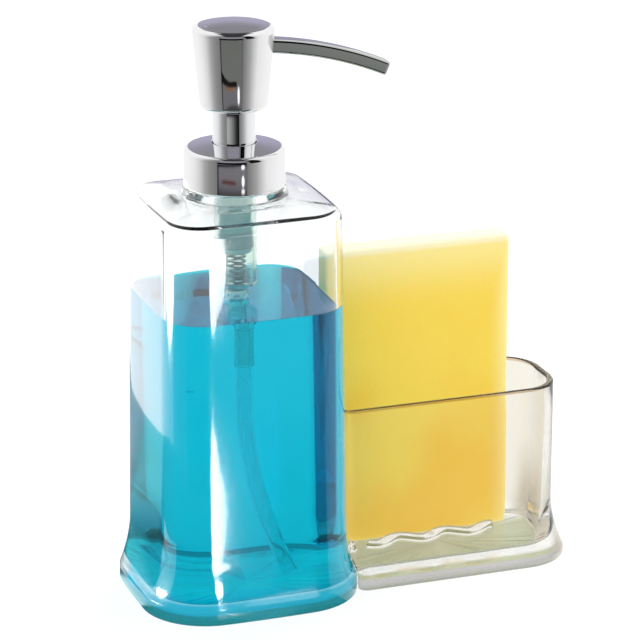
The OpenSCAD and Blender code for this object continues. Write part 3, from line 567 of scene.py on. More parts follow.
def chrome(name, colour, blur, smear):
    def build(net, place):
        haze = net.noise(place, 90, 3.0)
        wipe = net.noise(net.number("MULTIPLY", place, (1.0, 1.0, 0.15)), 700)
        rough = net.ramp(haze, 0.35, 0.75, blur, blur + smear) + net.ramp(wipe, 0.6, 0.8, 0.0, smear * 0.6)
        ripple = net.noise(place, 45, 1.0)
        tone = mottled(net, haze, colour, 0.97)
        return principled(net, {"Base Color": tone, "Metallic": 1.0, "Roughness": rough,
                                "Normal": net.bump(ripple, 0.05, 0.0006)}), None
    return newMaterial(name, build)


def steel(name, colour, blur):
    def build(net, place):
        drawn = net.noise(place, 2200)
        tone = mottled(net, drawn, colour, 0.8)
        return principled(net, {"Base Color": tone, "Metallic": 1.0,
                                "Roughness": net.ramp(drawn, 0.2, 0.8, blur * 0.7, blur * 1.3)}), None
    return newMaterial(name, build)


def airBubble(name):
    def build(net, place):
        tone = net.blend(net.noise(place, 300), (0.95, 0.98, 1.0), (0.9, 0.96, 1.0))
        surface = principled(net, {"Base Color": tone, "Transmission Weight": 1.0, "IOR": 0.75,
                                   "Roughness": 0.0})
        return letsLightThrough(net, surface, (0.9, 0.95, 1.0)), None
    return newMaterial(name, build)


# The pale colour and the top face's colour are painted light, on the top edges, the right end and the top
# face
spongeLook = {"colour": (0.94, 0.675, 0.09), "deep": (0.92, 0.52, 0.035), "pale": (0.97, 0.83, 0.34),
              "paintedTopLight": (0.97, 0.90, 0.68), "poreScale": 620.0, "grainScale": 1600.0}


def spongeFoam(name, look, low, high):
    def build(net, place):
        x, _, z = net.parts(place)
        patch = net.noise(place, 22, 3.0)
        tone = net.blend(net.ramp(patch, 0.35, 0.65), look["colour"], look["deep"])
        height = net.ramp(z, low.z, high.z, way="LINEAR")
        tone = net.blend(net.ramp(height, 0.42, 0.98, 0.75, 0.1), look["colour"], tone)
        # Paler towards the top edges and the right end: painted light
        edge = net.ramp(z, high.z - 0.030, high.z - 0.001) ** 2.0
        side = net.ramp(x, high.x - 0.009, high.x) ** 1.5
        paintedLightEdges = net.number("MAXIMUM", edge * 0.8, side * 0.9) * net.ramp(height, 0.25, 0.7, 0.6, 1.0)
        tone = net.blend(paintedLightEdges, tone, look["pale"])
        # The top face turns cream: a painted highlight
        tone = net.blend(net.ramp(z, high.z - 0.0035, high.z - 0.0006, 0.0, 0.85), tone, look["paintedTopLight"])
        pores = net.cells(place, look["poreScale"])
        grain = net.noise(place, look["grainScale"], 3.0)
        pits = net.ramp(pores, 0.05, 0.45)
        # Pore centres are a little deeper orange: painted shade in the pores
        tone = net.blend(pits, net.blend(0.05, tone, look["deep"]), tone)
        rough = net.ramp(grain, 0.2, 0.8, 0.85, 1.0)
        relief = pits * 0.7 + grain * 0.5
        return principled(net, {"Base Color": tone, "Roughness": rough, "IOR": 1.35,
                                "Subsurface Weight": 0.25, "Subsurface Radius": (0.004, 0.003, 0.001),
                                "Subsurface Scale": 1.0, "Sheen Weight": 0.15, "Sheen Roughness": 0.5,
                                "Normal": net.bump(relief, 0.12, 0.0003)}), None
    return newMaterial(name, build)


materials = {
    "bottle": clearPlastic("clearBody", bottlePlastic),
    "tub": clearPlastic("clearTub", tubPlastic),
    "soap": liquidSoap("blueSoap", soapLook),
    "bubble": airBubble("airBubble"),
    "frosted": frostedPlastic("frostedPlastic", (0.84, 0.94, 0.90), 1.40, 0.06, 0.95),
    "dipTube": frostedPlastic("clearTube", (0.93, 0.97, 0.97), 1.12, 0.08, 0.96),
    "white": mouldedPlastic("whitePlastic", (0.84, 0.85, 0.84), 0.38),
    "grey": mouldedPlastic("greyPlastic", (0.42, 0.43, 0.44), 0.4),
    "piston": mouldedPlastic("pistonPlastic", (0.10, 0.36, 0.38), 0.35),
    "seal": mouldedPlastic("softSeal", (0.07, 0.22, 0.26), 0.55),
    "chromeHead": chrome("chromeHead", (0.90, 0.90, 0.91), 0.014, 0.016),
    "chromeSleeve": chrome("chromeSleeve", (0.89, 0.90, 0.91), 0.014, 0.016),
    "chromeCollar": chrome("chromeCollar", (0.90, 0.90, 0.91), 0.014, 0.016),
    # The spout's chrome is darker than the rest: painted shade
    "chromeSpout": chrome("chromeSpout", (0.62, 0.645, 0.62), 0.03, 0.03),
    "spring": steel("springSteel", (0.05, 0.14, 0.15), 0.3),
    "ball": steel("ballSteel", (0.75, 0.76, 0.78), 0.15),
    "sponge": spongeFoam("yellowSponge", spongeLook, *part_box("sponge")),
}
print("materials ready:", len(materials))


# Meshes. Sizes are in millimetres, and loft() turns them into metres
def placed(name, mesh, material):
    piece = bpy.data.objects.new(name, mesh)
    scene.collection.objects.link(piece)
    mesh.materials.clear()
    mesh.materials.append(material)
    return piece


def smoothed(mesh, angle=35.0):
    mesh.shade_smooth()
    mesh.set_sharp_from_angle(angle=math.radians(angle))


def turnOutward(mesh):
    corners = np.empty(len(mesh.vertices) * 3)
    mesh.vertices.foreach_get("co", corners)
    corners = corners.reshape(-1, 3)
    mesh.calc_loop_triangles()
    thirds = np.empty(len(mesh.loop_triangles) * 3, int)
    mesh.loop_triangles.foreach_get("vertices", thirds)
    a, b, c = (corners[thirds.reshape(-1, 3)[:, k]] for k in range(3))
    if np.einsum("ij,ij->i", a, np.cross(b, c)).sum() < 0:
        mesh.flip_normals()


# Skin through rings of points. A ring of one point is a pole, and a loop joins the last ring to the first
def loft(name, rings, material, loop=False, angle=35.0):
    points, starts, faces = [], [], []
    for ring in rings:
        starts.append(len(points))
        points += [tuple(c * mm for c in p) for p in ring]
    pairs = list(zip(range(len(rings)), range(1, len(rings))))
    if loop:
        pairs.append((len(rings) - 1, 0))
    for low, high in pairs:
        count = max(len(rings[low]), len(rings[high]))
        a, b = starts[low], starts[high]
        for k in range(count):
            m = (k + 1) % count
            if len(rings[low]) == 1:
                faces.append((a, b + k, b + m))
            elif len(rings[high]) == 1:
                faces.append((a + m, a + k, b))
            else:
                faces.append((a + m, a + k, b + k, b + m))
    mesh = bpy.data.meshes.new(name)
    mesh.from_pydata(points, [], faces)
    mesh.validate()
    turnOutward(mesh)
    smoothed(mesh, angle)
    return placed(name, mesh, material)


# Marks the points of the outside, from which clearPlastic takes its painted foot colour and its shine
def markSkin(mesh, values):
    skin = mesh.attributes.new("skin", "FLOAT", "POINT")
    skin.data.foreach_set("value", np.asarray(values, dtype=np.float32))


# Outline in a plane with its corners rounded: points are (across, up, radius)
def roundedLine(points, closed=True, steps=5):
    line = []
    count = len(points)
    for i, (x, z, radius) in enumerate(points):
        here = Vector((x, z))
        if radius == 0 or (not closed and i in (0, count - 1)):
            line.append((x, z))
            continue
        back = Vector(points[i - 1][:2]) - here
        ahead = Vector(points[(i + 1) % count][:2]) - here
        half = back.angle(ahead) / 2
        reach = min(radius / math.tan(half), 0.48 * back.length, 0.48 * ahead.length)
        radius = reach * math.tan(half)
        centre = here + (back.normalized() + ahead.normalized()).normalized() * radius / math.sin(half)
        first = here + back.normalized() * reach - centre
        last = here + ahead.normalized() * reach - centre
        turn = math.atan2(first.x * last.y - first.y * last.x, first.dot(last))
        for k in range(steps + 1):
            a = turn * k / steps
            line.append((centre.x + first.x * math.cos(a) - first.y * math.sin(a),
                         centre.y + first.x * math.sin(a) + first.y * math.cos(a)))
    return line


# Steps of a quarter circle, each as how far it still is from the side and how far it has come round
def quarter(steps):
    angles = [math.pi / 2 * i / steps for i in range(steps + 1)]
    return [(1 - math.sin(a), 1 - math.cos(a)) for a in angles]


# Turned piece: a closed outline, or an open one from pole to pole
def turned(name, line, material, closed=True, sides=96):
    rings = []
    for r, z in line:
        if r < 1e-6:
            rings.append([(0, 0, z)])
        else:
            rings.append([(r * math.cos(math.tau * k / sides), r * math.sin(math.tau * k / sides), z)
                          for k in range(sides)])
    return loft(name, rings, material, loop=closed)


def millimetres(node):
    low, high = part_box(node)
    return low / mm, high / mm


# Bottle: the same driving sizes as the solid, in millimetres
bottle = {"width": 67.2, "depth": 66.4, "draft": 2.2, "wall": 2.2, "topCorner": 13.5, "lowCorner": 16.0,
          "footCorner": 23.0, "shoulderRound": 6.5, "flareWidth": 4.7, "flareDepth": 2.2, "flareTop": 22.0,
          "plate": 5.0, "floor": 6.5, "bossHeight": 2.9, "bossLip": 0.5, "neckBore": 11.2, "footRound": 0.7,
          "floorFillet": 2.4, "bossEdge": 0.5, "bossFillet": 0.7, "cornerSteps": 20, "swell": 2.3,
          "shoulderTurn": 2.0, "shoulderBend": 5.0, "creaseInset": 2.1, "creaseDrop": 2.2, "creaseBend": 1.3,
          "domeInset": 10.0, "domeDrop": 0.35}
collarLow, collarHigh = millimetres("collar_cap")
flangeLow, flangeHigh = millimetres("cylinder_gasket")
soapTop = millimetres("soap_fill")[1].z
bottle["boss"] = collarHigh.x + bottle["bossLip"]
bottle["neck"] = flangeHigh.x
bottle["neckTop"] = flangeLow.z
bottle["bossTop"] = collarLow.z - 0.1
bottle["shoulder"] = bottle["bossTop"] - bottle["bossHeight"]
sideShares = (0.04, 0.15, 0.38, 0.62, 0.85, 0.96)


def flareAt(z):
    if z >= bottle["flareTop"]:
        return 0.0
    return ((bottle["flareTop"] - max(z, bottle["plate"])) / (bottle["flareTop"] - bottle["plate"])) ** 2


def riseAt(z):
    return min(1.0, max(0.0, z / (bottle["shoulder"] - bottle["shoulderRound"])))


def halfWidth(z):
    return bottle["width"] / 2 - bottle["draft"] * riseAt(z) + bottle["flareWidth"] * flareAt(z)


def halfDepth(z):
    return bottle["depth"] / 2 - bottle["draft"] * riseAt(z) + bottle["flareDepth"] * flareAt(z)


def cornerAt(z):
    return (bottle["lowCorner"] + (bottle["topCorner"] - bottle["lowCorner"]) * riseAt(z)
            + (bottle["footCorner"] - bottle["lowCorner"]) * flareAt(z))


# Rounded rectangle whose sides swell a little, so that the corners ease in
def roundedRing(halfX, halfY, radius, z, steps):
    swell = math.radians(bottle["swell"])
    midX, midY = halfX - radius, halfY - radius
    inward, sideways, lean = radius * math.cos(swell), radius * math.sin(swell), math.tan(swell / 2)
    for _ in range(4):
        midX, midY = halfX - inward - (midY + sideways) * lean, halfY - inward - (midX + sideways) * lean
    ring = []
    for corner in range(4):
        sx = 1 if corner in (0, 3) else -1
        sy = 1 if corner < 2 else -1
        for i in range(steps + 1):
            a = math.radians(corner * 90) + swell + (math.pi / 2 - 2 * swell) * i / steps
            ring.append((sx * midX + radius * math.cos(a), sy * midY + radius * math.sin(a), z))
        along = (midX if corner in (0, 2) else midY) + sideways
        across = halfY if corner in (0, 2) else halfX
        bend = along / math.sin(swell)
        ahead = math.radians(corner * 90 + 90)
        for share in sideShares:
            a = ahead - swell + 2 * swell * share
            ring.append(((across - bend) * math.cos(ahead) + bend * math.cos(a),
                         (across - bend) * math.sin(ahead) + bend * math.sin(a), z))
    return ring


def bodyRing(z, inset, ringZ=None):
    return roundedRing(halfWidth(z) - inset, halfDepth(z) - inset, max(1.0, cornerAt(z) - inset),
                       z if ringZ is None else ringZ, bottle["cornerSteps"])


# Shoulder: outline as (inset, height, rounding), moved in by a wall's thickness
def shoulderRings(wall):
    edge = bottle["shoulder"] - bottle["shoulderRound"]
    corners = [(0, edge - 4), (0, edge + bottle["shoulderTurn"]),
               (bottle["creaseInset"], bottle["shoulder"] - bottle["creaseDrop"]),
               (bottle["domeInset"], bottle["shoulder"] - bottle["domeDrop"])]
    moved = []
    runs = [(Vector(b) - Vector(a)).normalized() for a, b in zip(corners, corners[1:])]
    for i, (x, z) in enumerate(corners):
        inward = [Vector((run.y, -run.x)) for run in runs[max(0, i - 1):i + 1]]
        whole = sum(inward, Vector((0, 0)))
        push = whole.normalized() * wall / (whole.length / len(inward)) if wall else Vector((0, 0))
        moved.append((x + push.x, z + push.y))
    sizes = (0, max(1.0, bottle["shoulderBend"] - wall), max(0.5, bottle["creaseBend"] - wall * 0.3), 0)
    line = roundedLine([(x, z, r) for (x, z), r in zip(moved, sizes)], closed=False, steps=8)
    return [bodyRing(edge, x, z) for x, z in line[1:]]


# Ring moved out or in along its own directions, to a circle
def circleLike(ring, radius, z):
    out = []
    for x, y, _ in ring:
        a = math.atan2(y, x)
        out.append((radius * math.cos(a), radius * math.sin(a), z))
    return out


def wallHeights(low):
    flares = [low + (bottle["flareTop"] - low) * i / 18 for i in range(19)]
    edge = bottle["shoulder"] - bottle["shoulderRound"]
    return flares + [bottle["flareTop"] + (edge - bottle["flareTop"]) * i / 12 for i in range(1, 13)]


# Inner surface from the floor's middle up the wall, drawn in by an inset
def innerRings(inset, floor, fillet, top):
    rings = [[(0, 0, floor)], bodyRing(floor, inset + fillet * 3, floor),
             bodyRing(floor, inset + fillet * 1.3, floor)]
    for side, up in quarter(8):
        rings.append(bodyRing(floor + fillet * up, inset + fillet * side, floor + fillet * up))
    rings += [bodyRing(z, inset) for z in wallHeights(floor + fillet + 0.6) if z <= top]
    return rings


def makeBottle():
    wall, edge = bottle["wall"], bottle["footRound"]
    rings = [[(0, 0, 0)], bodyRing(0, 6, 0), bodyRing(0, edge * 1.6, 0)]
    rings += [bodyRing(0, edge * side, edge * up) for side, up in quarter(4)]
    rings += [bodyRing(z, 0) for z in wallHeights(bottle["plate"])]
    rings += shoulderRings(0)
    last = rings[-1]
    top, boss, neck = bottle["shoulder"], bottle["boss"], bottle["neck"]
    rise = roundedLine([(boss + 4, top, 0), (boss, top, bottle["bossFillet"]),
                        (boss, bottle["bossTop"], bottle["bossEdge"]),
                        (neck, bottle["bossTop"], 0.3), (neck, bottle["neckTop"], 0.4),
                        (bottle["neckBore"], bottle["neckTop"], 0.4),
                        (bottle["neckBore"], top - wall, 0.8), (neck + 6, top - wall, 0)], closed=False)
    rings += [circleLike(last, r, z) for r, z in rise]
    outside = sum(len(ring) for ring in rings)
    rings += list(reversed(shoulderRings(wall)))
    rings += list(reversed(innerRings(wall, bottle["floor"], bottle["floorFillet"], bottle["shoulder"])))
    piece = loft("bottle", rings, materials["bottle"], angle=40)
    markSkin(piece.data, [1.0 if i < outside else 0.0 for i in range(len(piece.data.vertices))])
    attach(piece, "caddy")
    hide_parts("bottle_shell", "bottle_base")
    return piece


# Soap: fills the bottle to its level, just into the wall, and climbs a little at the edge
soap = {"intoWall": 0.06, "meniscus": 0.35, "reach": 1.2}


def makeSoap():
    inset = bottle["wall"] - soap["intoWall"]
    floor = bottle["floor"] - soap["intoWall"]
    rings = innerRings(inset, floor, bottle["floorFillet"], soapTop - 3)
    rings.append(bodyRing(soapTop, inset, soapTop + soap["meniscus"]))
    for i in range(1, 9):
        share = i / 8
        rings.append(bodyRing(soapTop, inset + soap["reach"] * share,
                              soapTop + soap["meniscus"] * (1 - share) ** 2.5))
    rings += [bodyRing(soapTop, inset + 6, soapTop), [(0, 0, soapTop)]]
    piece = loft("soap", rings, materials["soap"], angle=40)
    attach(piece, "caddy")
    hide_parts("soap_fill")
    return piece


bottlePiece = makeBottle()
soapPiece = makeSoap()
makeStrips(stripSets, [bottlePiece])
print("bottle and soap ready")


# Gives a piece the plain mesh that its modifiers make, and removes them
def settle(piece):
    graph = bpy.context.evaluated_depsgraph_get()
    mesh = bpy.data.meshes.new_from_object(piece.evaluated_get(graph))
    piece.modifiers.clear()
    piece.data = mesh


# Geometry Nodes: a tree with named inputs, grown into a plain mesh
def growTree(name, inputs, build):
    tree = bpy.data.node_groups.new(name, "GeometryNodeTree")
    tree.interface.new_socket("Geometry", in_out="INPUT", socket_type="NodeSocketGeometry")
    kinds = {float: "NodeSocketFloat", int: "NodeSocketInt"}
    for label, value in inputs.items():
        kind = kinds.get(type(value), "NodeSocketMaterial")
        tree.interface.new_socket(label, in_out="INPUT", socket_type=kind)
    tree.interface.new_socket("Geometry", in_out="OUTPUT", socket_type="NodeSocketGeometry")
    net = Net(tree)
    start = tree.nodes.new("NodeGroupInput")
    wires = {socket.name: Wire(net, socket) for socket in start.outputs if socket.name}
    shape = build(net, wires)
    real = net.make("GeometryNodeRealizeInstances", values={0: shape})
    painted = net.make("GeometryNodeSetMaterial", values={"Geometry": real, "Material": wires["Material"]})
    net.make("NodeGroupOutput", values={0: painted})
    return tree


def grow(name, inputs, build, material, base=None):
    inputs = {**inputs, "Material": material}
    tree = growTree(name, inputs, build)
    holder = bpy.data.objects.new(name, base or bpy.data.meshes.new(name))
    scene.collection.objects.link(holder)
    modifier = holder.modifiers.new(name, "NODES")
    modifier.node_group = tree
    for item in tree.interface.items_tree:
        if item.in_out == "INPUT" and item.name in inputs:
            modifier[item.identifier] = inputs[item.name]
    settle(holder)
    holder.data.name = name
    return holder


def coil(net, use, height):
    return net.make("GeometryNodeCurveSpiral", values={
        "Resolution": use["Steps"], "Rotations": use["Turns"], "Start Radius": use["Radius"],
        "End Radius": use["Radius"], "Height": height})


# Straight line of even steps, and each point's share of the way along it
def evenLine(net, steps):
    path = net.make("GeometryNodeCurvePrimitiveLine", values={"Start": (0, 0, 0), "End": (1, 0, 0)})
    path = net.make("GeometryNodeResampleCurve", values={"Curve": path, "Count": steps})
    return path, net.parts(net.make("GeometryNodeInputPosition"))[0]


def sweep(net, path, outline, capped=True):
    return net.make("GeometryNodeCurveToMesh",
                    values={"Curve": path, "Profile Curve": outline, "Fill Caps": capped})


# Helical ridge of the neck's thread
thread = {"Radius": 12.4 * mm, "Pitch": 4.2 * mm, "Turns": 1.25, "Foot": 2.0 * mm, "Crest": 1.1 * mm,
          "Height": 1.3 * mm, "Low": bottle["bossTop"] * mm + 1.6 * mm, "Steps": 72}


def threadShape(net, use):
    path = coil(net, use, use["Pitch"] * use["Turns"])
    upright = net.make("GeometryNodeSetCurveNormal", {"mode": "Z_UP"}, {"Curve": path})
    outline = net.make("GeometryNodeCurvePrimitiveQuadrilateral", {"mode": "TRAPEZOID"},
                       {"Height": use["Height"], "Bottom Width": use["Foot"], "Top Width": use["Crest"],
                        "Offset": 0.0})
    turned = net.make("GeometryNodeTransform", values={"Geometry": outline, "Rotation": (0, 0, -math.pi / 2)})
    ridge, lift = sweep(net, upright, turned), net.join(0.0, 0.0, use["Low"])
    return net.make("GeometryNodeTransform", values={"Geometry": ridge, "Translation": lift})


def makeThread():
    piece = grow("neckThread", thread, threadShape, materials["bottle"])
    turnOutward(piece.data)
    smoothed(piece.data, 30)
    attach(piece, "caddy")


# Return spring: one unbroken wire whose end turns lie flat
springLow, springHigh = millimetres("return_spring")
spring = {"Radius": (springHigh.x - 0.375) * mm, "Wire": 0.7 * mm, "Turns": 13.0, "Low": springLow.z * mm,
          "Height": (springHigh.z - springLow.z) * mm, "Rest": 0.06, "Steps": 24}


def springShape(net, use):
    path = coil(net, use, 1.0)
    x, y, share = net.parts(net.make("GeometryNodeInputPosition"))
    rise = net.ramp(share, use["Rest"], 1 - use["Rest"], way="LINEAR")
    height = use["Low"] + use["Wire"] * 0.5 + rise * (use["Height"] - use["Wire"])
    bent = net.make("GeometryNodeSetPosition", values={"Geometry": path, "Position": net.join(x, y, height)})
    outline = net.make("GeometryNodeCurvePrimitiveCircle",
                       values={"Resolution": 12, "Radius": use["Wire"] * 0.5})
    return sweep(net, bent, outline)


def makeSpring():
    piece = grow("returnSpring", spring, springShape, materials["spring"])
    turnOutward(piece.data)
    smoothed(piece.data, 50)
    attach(piece, "pump")
    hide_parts("return_spring")
    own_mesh(piece)


# Dip tube: straight, then one long bend towards a corner of the base
tubeLow, tubeHigh = millimetres("dip_tube")
dipTube = {"Radius": 2.7 * mm, "Wall": 0.9 * mm, "Top": tubeHigh.z * mm, "BendTop": 70.0 * mm,
           "BendRadius": 111.0 * mm, "Drop": 61.4 * mm, "Turn": math.radians(-45), "Steps": 60}


def dipTubeShape(net, use):
    path, share = evenLine(net, use["Steps"])
    straight = use["Top"] - use["BendTop"]
    angle = net.number("ARCSINE", use["Drop"] / use["BendRadius"])
    along = share * (straight + use["BendRadius"] * angle)
    bend = net.number("MAXIMUM", along - straight, 0.0) / use["BendRadius"]
    out = use["BendRadius"] * (1 - net.number("COSINE", bend))
    height = use["Top"] - net.number("MINIMUM", along, straight)
    height = height - use["BendRadius"] * net.number("SINE", bend)
    place = net.join(out * net.number("COSINE", use["Turn"]), out * net.number("SINE", use["Turn"]), height)
    bent = net.make("GeometryNodeSetPosition", values={"Geometry": path, "Position": place})
    outline = net.make("GeometryNodeCurvePrimitiveCircle", values={"Resolution": 32, "Radius": use["Radius"]})
    return sweep(net, bent, outline, capped=False)


def makeDipTube():
    piece = grow("dipTube", dipTube, dipTubeShape, materials["dipTube"])
    work = bmesh.new()
    work.from_mesh(piece.data)
    bmesh.ops.recalc_face_normals(work, faces=work.faces)
    work.to_mesh(piece.data)
    work.free()
    straight = [v for v in piece.data.vertices if v.co.z > dipTube["BendTop"] + 5 * mm]
    if sum(v.normal.dot(v.co - Vector((0, 0, v.co.z))) for v in straight) < 0:
        piece.data.flip_normals()
    wall = piece.modifiers.new("wall", "SOLIDIFY")
    wall.thickness, wall.offset, wall.use_rim = dipTube["Wall"], -1, True
    settle(piece)
    smoothed(piece.data, 50)
    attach(piece, "pump")
    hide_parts("dip_tube")


makeThread()
makeSpring()
makeDipTube()
print("thread, spring and dip tube ready")


# Turned pump pieces, each outline as (radius, height, rounding)
cylinderLow, cylinderHigh = millimetres("pump_cylinder")
pump = {"flange": cylinderHigh.x, "flangeTop": cylinderHigh.z, "flangeThick": 1.5, "barrel": 7.1, "wall": 1.0,
        "barrelLength": 44.9, "cone": 1.8, "chamber": 4.4, "chamberLength": 12.2, "socket": 3.5,
        "socketFoot": cylinderLow.z, "tubeHole": 2.75, "tubeStop": 2.0, "ballHole": 1.3, "seatRise": 4.0,
        "ballRoom": 2.6, "cage": 106.1, "pocket": 3.75, "boreRise": 0.7, "coneRise": 1.6}


def makeCylinder():
    top, under = pump["flangeTop"], pump["flangeTop"] - pump["flangeThick"]
    foot = top - pump["barrelLength"]
    chamber = foot - pump["chamberLength"]
    stop, seat, boreFoot = chamber - pump["tubeStop"], chamber + pump["seatRise"], foot + pump["boreRise"]
    bore = pump["barrel"] - pump["wall"]
    line = roundedLine([
        (pump["flange"], top, 0.2), (pump["flange"], under, 0.2), (pump["barrel"], under, 0.3),
        (pump["barrel"], foot, 0.8), (pump["chamber"], foot - pump["cone"], 0.6),
        (pump["chamber"], chamber, 0.6), (pump["socket"], chamber - 1, 0.4),
        (pump["socket"], pump["socketFoot"], 0.3), (pump["tubeHole"], pump["socketFoot"], 0.2),
        (pump["tubeHole"], stop, 0), (pump["ballHole"], stop, 0.2), (pump["ballHole"], seat, 0.2),
        (pump["ballRoom"], seat, 0.3), (pump["ballRoom"], pump["cage"], 0),
        (pump["pocket"], pump["cage"], 0.1), (pump["pocket"], boreFoot - pump["coneRise"], 0.3),
        (bore, boreFoot, 0.3), (bore, top, 0.2)])
    piece = turned("pumpCylinder", line, materials["frosted"])
    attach(piece, "pump")
    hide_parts("pump_cylinder")


sleeveLow, sleeveHigh = millimetres("stem_sleeve")


def makeSleeve():
    outer, inner = sleeveHigh.x, sleeveHigh.x - 1
    line = roundedLine([(outer, sleeveLow.z, 0.1), (outer, sleeveLow.z + 0.3, 0),
                        (outer, sleeveHigh.z - 0.4, 0), (outer, sleeveHigh.z, 0.25),
                        (inner, sleeveHigh.z, 0.25), (inner, sleeveLow.z, 0.1)])
    piece = turned("sleeve", line, materials["chromeSleeve"])
    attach(piece, "pump")
    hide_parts("stem_sleeve")


collar = {"wall": 1.1, "edgeRound": 1.8, "hole": 7.5, "rise": 1.6, "web": 155.5, "footRound": 0.3,
          "holeRound": 0.25}


def makeCollar():
    outer, low, top = collarHigh.x, collarLow.z, collarHigh.z
    inner = outer - collar["wall"]
    edge = top - collar["rise"]
    arc = [(outer - collar["edgeRound"] * (1 - math.cos(a)), edge - collar["edgeRound"] * (1 - math.sin(a)))
           for a in [math.radians(7.5 * i) for i in range(13)]]
    cone = roundedLine([(outer - collar["edgeRound"], edge, 0), (collar["hole"], top, collar["holeRound"]),
                        (collar["hole"], collar["web"], 0.1), (inner, collar["web"], 0), (inner, low, 0.1),
                        (outer, low, collar["footRound"]), (outer, low + 0.5, 0)], closed=False)
    wall = [(outer, z) for z in (low + 5, edge - collar["edgeRound"] - 0.15)]
    piece = turned("collar", wall + arc[:-1] + cone, materials["chromeCollar"], sides=144)
    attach(piece, "collar")
    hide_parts("collar_cap")


# Piston, seal and stem, as turned pieces
stemLow, stemHigh = millimetres("piston_stem")
pistonLow, pistonHigh = millimetres("piston")
sealLow, sealHigh = millimetres("piston_seal")
plunger = {"piston": 5.3, "recess": 3.9, "recessHeight": 7.7, "web": 1.6, "hole": 1.2, "ledge": 0.8,
           "lip": 0.35, "stem": stemHigh.x, "room": 2.2, "bore": 1.6, "step": 136.0}


def makePlunger():
    p, foot, top = plunger, pistonLow.z, pistonHigh.z
    recessTop = foot + p["recessHeight"]
    seat = recessTop + p["web"]
    ledge = p["piston"] + p["lip"]
    line = roundedLine([
        (p["recess"], foot, 0.3), (p["piston"], foot, 0.4), (p["piston"], sealLow.z - p["ledge"], 0.1),
        (ledge, sealLow.z - p["ledge"], 0.15), (ledge, sealLow.z, 0.1), (p["piston"], sealLow.z, 0),
        (p["piston"], sealHigh.z, 0), (ledge, sealHigh.z, 0.1), (ledge, sealHigh.z + p["ledge"], 0.15),
        (p["piston"], sealHigh.z + p["ledge"], 0.1), (p["piston"], top, 0.5), (p["stem"], top, 0),
        (p["stem"], seat, 0), (p["hole"], seat, 0.1), (p["hole"], recessTop, 0.1),
        (p["recess"], recessTop, 0.3)])
    piston = turned("pistonBody", line, materials["piston"], sides=72)
    lipOut, waist = sealHigh.x, (sealHigh.x + p["piston"]) / 2
    lipHeight = (sealHigh.z - sealLow.z) / 10
    line = roundedLine([
        (p["piston"], sealLow.z, 0), (waist, sealLow.z, 0.1), (lipOut, sealLow.z + lipHeight, 0.15),
        (waist, sealLow.z + 3 * lipHeight, 0.3), (waist, sealHigh.z - 3 * lipHeight, 0.3),
        (lipOut, sealHigh.z - lipHeight, 0.15), (waist, sealHigh.z, 0.1), (p["piston"], sealHigh.z, 0)])
    seal = turned("pistonSeal", line, materials["seal"], sides=72)
    line = roundedLine([(p["room"], stemLow.z, 0.1), (p["stem"], stemLow.z, 0.1),
                        (p["stem"], stemHigh.z, 0.3), (p["bore"], stemHigh.z, 0.2),
                        (p["bore"], p["step"], 0), (p["room"], p["step"], 0)])
    stem = turned("pistonStem", line, materials["piston"], sides=72)
    for piece, node, slot in ((piston, "piston", "piston_plastic"), (seal, "piston_seal", "soft_seal"),
                              (stem, "piston_stem", "white_plastic")):
        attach(piece, "plunger")
        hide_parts(node)


# Head: a tapered cup, upside down, with a low crown and its lower edge curled in
headLow, headHigh = millimetres("head_shell")
head = {"side": 25.9, "low": 11.2, "top": headHigh.x, "wall": 1.0, "edge": 2.8, "edgeRise": 2.0, "foot": 2.0,
        "crown": 1.2}


def footArc(radius, steps=10):
    lean = math.atan((head["top"] - head["low"]) / head["side"])
    centreX = head["low"] - head["foot"] * (1 - math.sin(lean)) / math.cos(lean)
    centreZ = headLow.z + head["foot"]
    angles = [-math.pi / 2 + (math.pi / 2 - lean) * i / steps for i in range(steps + 1)]
    return [(centreX + radius * math.cos(a), centreZ + radius * math.sin(a)) for a in angles]


def makeHead():
    rim = head["top"] - head["edge"]
    edgeZ = headLow.z + head["side"]
    topZ = edgeZ + head["edgeRise"]
    side = footArc(head["foot"])
    start = side[-1]
    side += [(start[0] + (head["top"] - start[0]) * k, start[1] + (edgeZ - start[1]) * k)
             for k in (0.006, 0.15, 0.3, 0.45, 0.6, 0.75, 0.9, 0.994)]
    side += [(rim + head["edge"] * math.cos(math.radians(a)),
              edgeZ + head["edgeRise"] * math.sin(math.radians(a)))
             for a in range(0, 91, 9)]
    side += [(rim * (1 - k / 10), topZ + head["crown"] * (1 - (1 - k / 10) ** 2)) for k in range(1, 11)]
    inner = [(0, topZ), (rim * 0.6, topZ - 0.3), (rim, topZ - head["wall"]),
             (head["top"] - head["wall"], edgeZ)]
    inner += list(reversed(footArc(head["foot"] - head["wall"])))
    piece = turned("headShell", inner + side, materials["chromeHead"], closed=False, sides=144)
    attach(piece, "head")
    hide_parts("head_shell")


# Spout: a hollow rounded-square section along a long droop, cut square at its tip
spoutLow, spoutHigh = millimetres("spout")
spout = {"width": spoutHigh.y - spoutLow.y, "height": 4.8, "corner": 1.1, "wall": 0.9, "bend": 131.0,
         "slope": 6.0, "rootHeight": 189.7, "start": spoutLow.x + 0.6, "reach": 53.2, "tipRound": 0.18}


def spoutSection(inset, steps=8):
    halfH, halfW = spout["height"] / 2 - inset, spout["width"] / 2 - inset
    r = max(0.2, spout["corner"] - inset)
    points = []
    for corner in range(4):
        sx = 1 if corner in (0, 3) else -1
        sy = 1 if corner < 2 else -1
        for i in range(steps + 1):
            a = math.radians(corner * 90 + i * 90 / steps)
            points.append((sx * (halfH - r) + r * math.cos(a), sy * (halfW - r) + r * math.sin(a)))
    return points


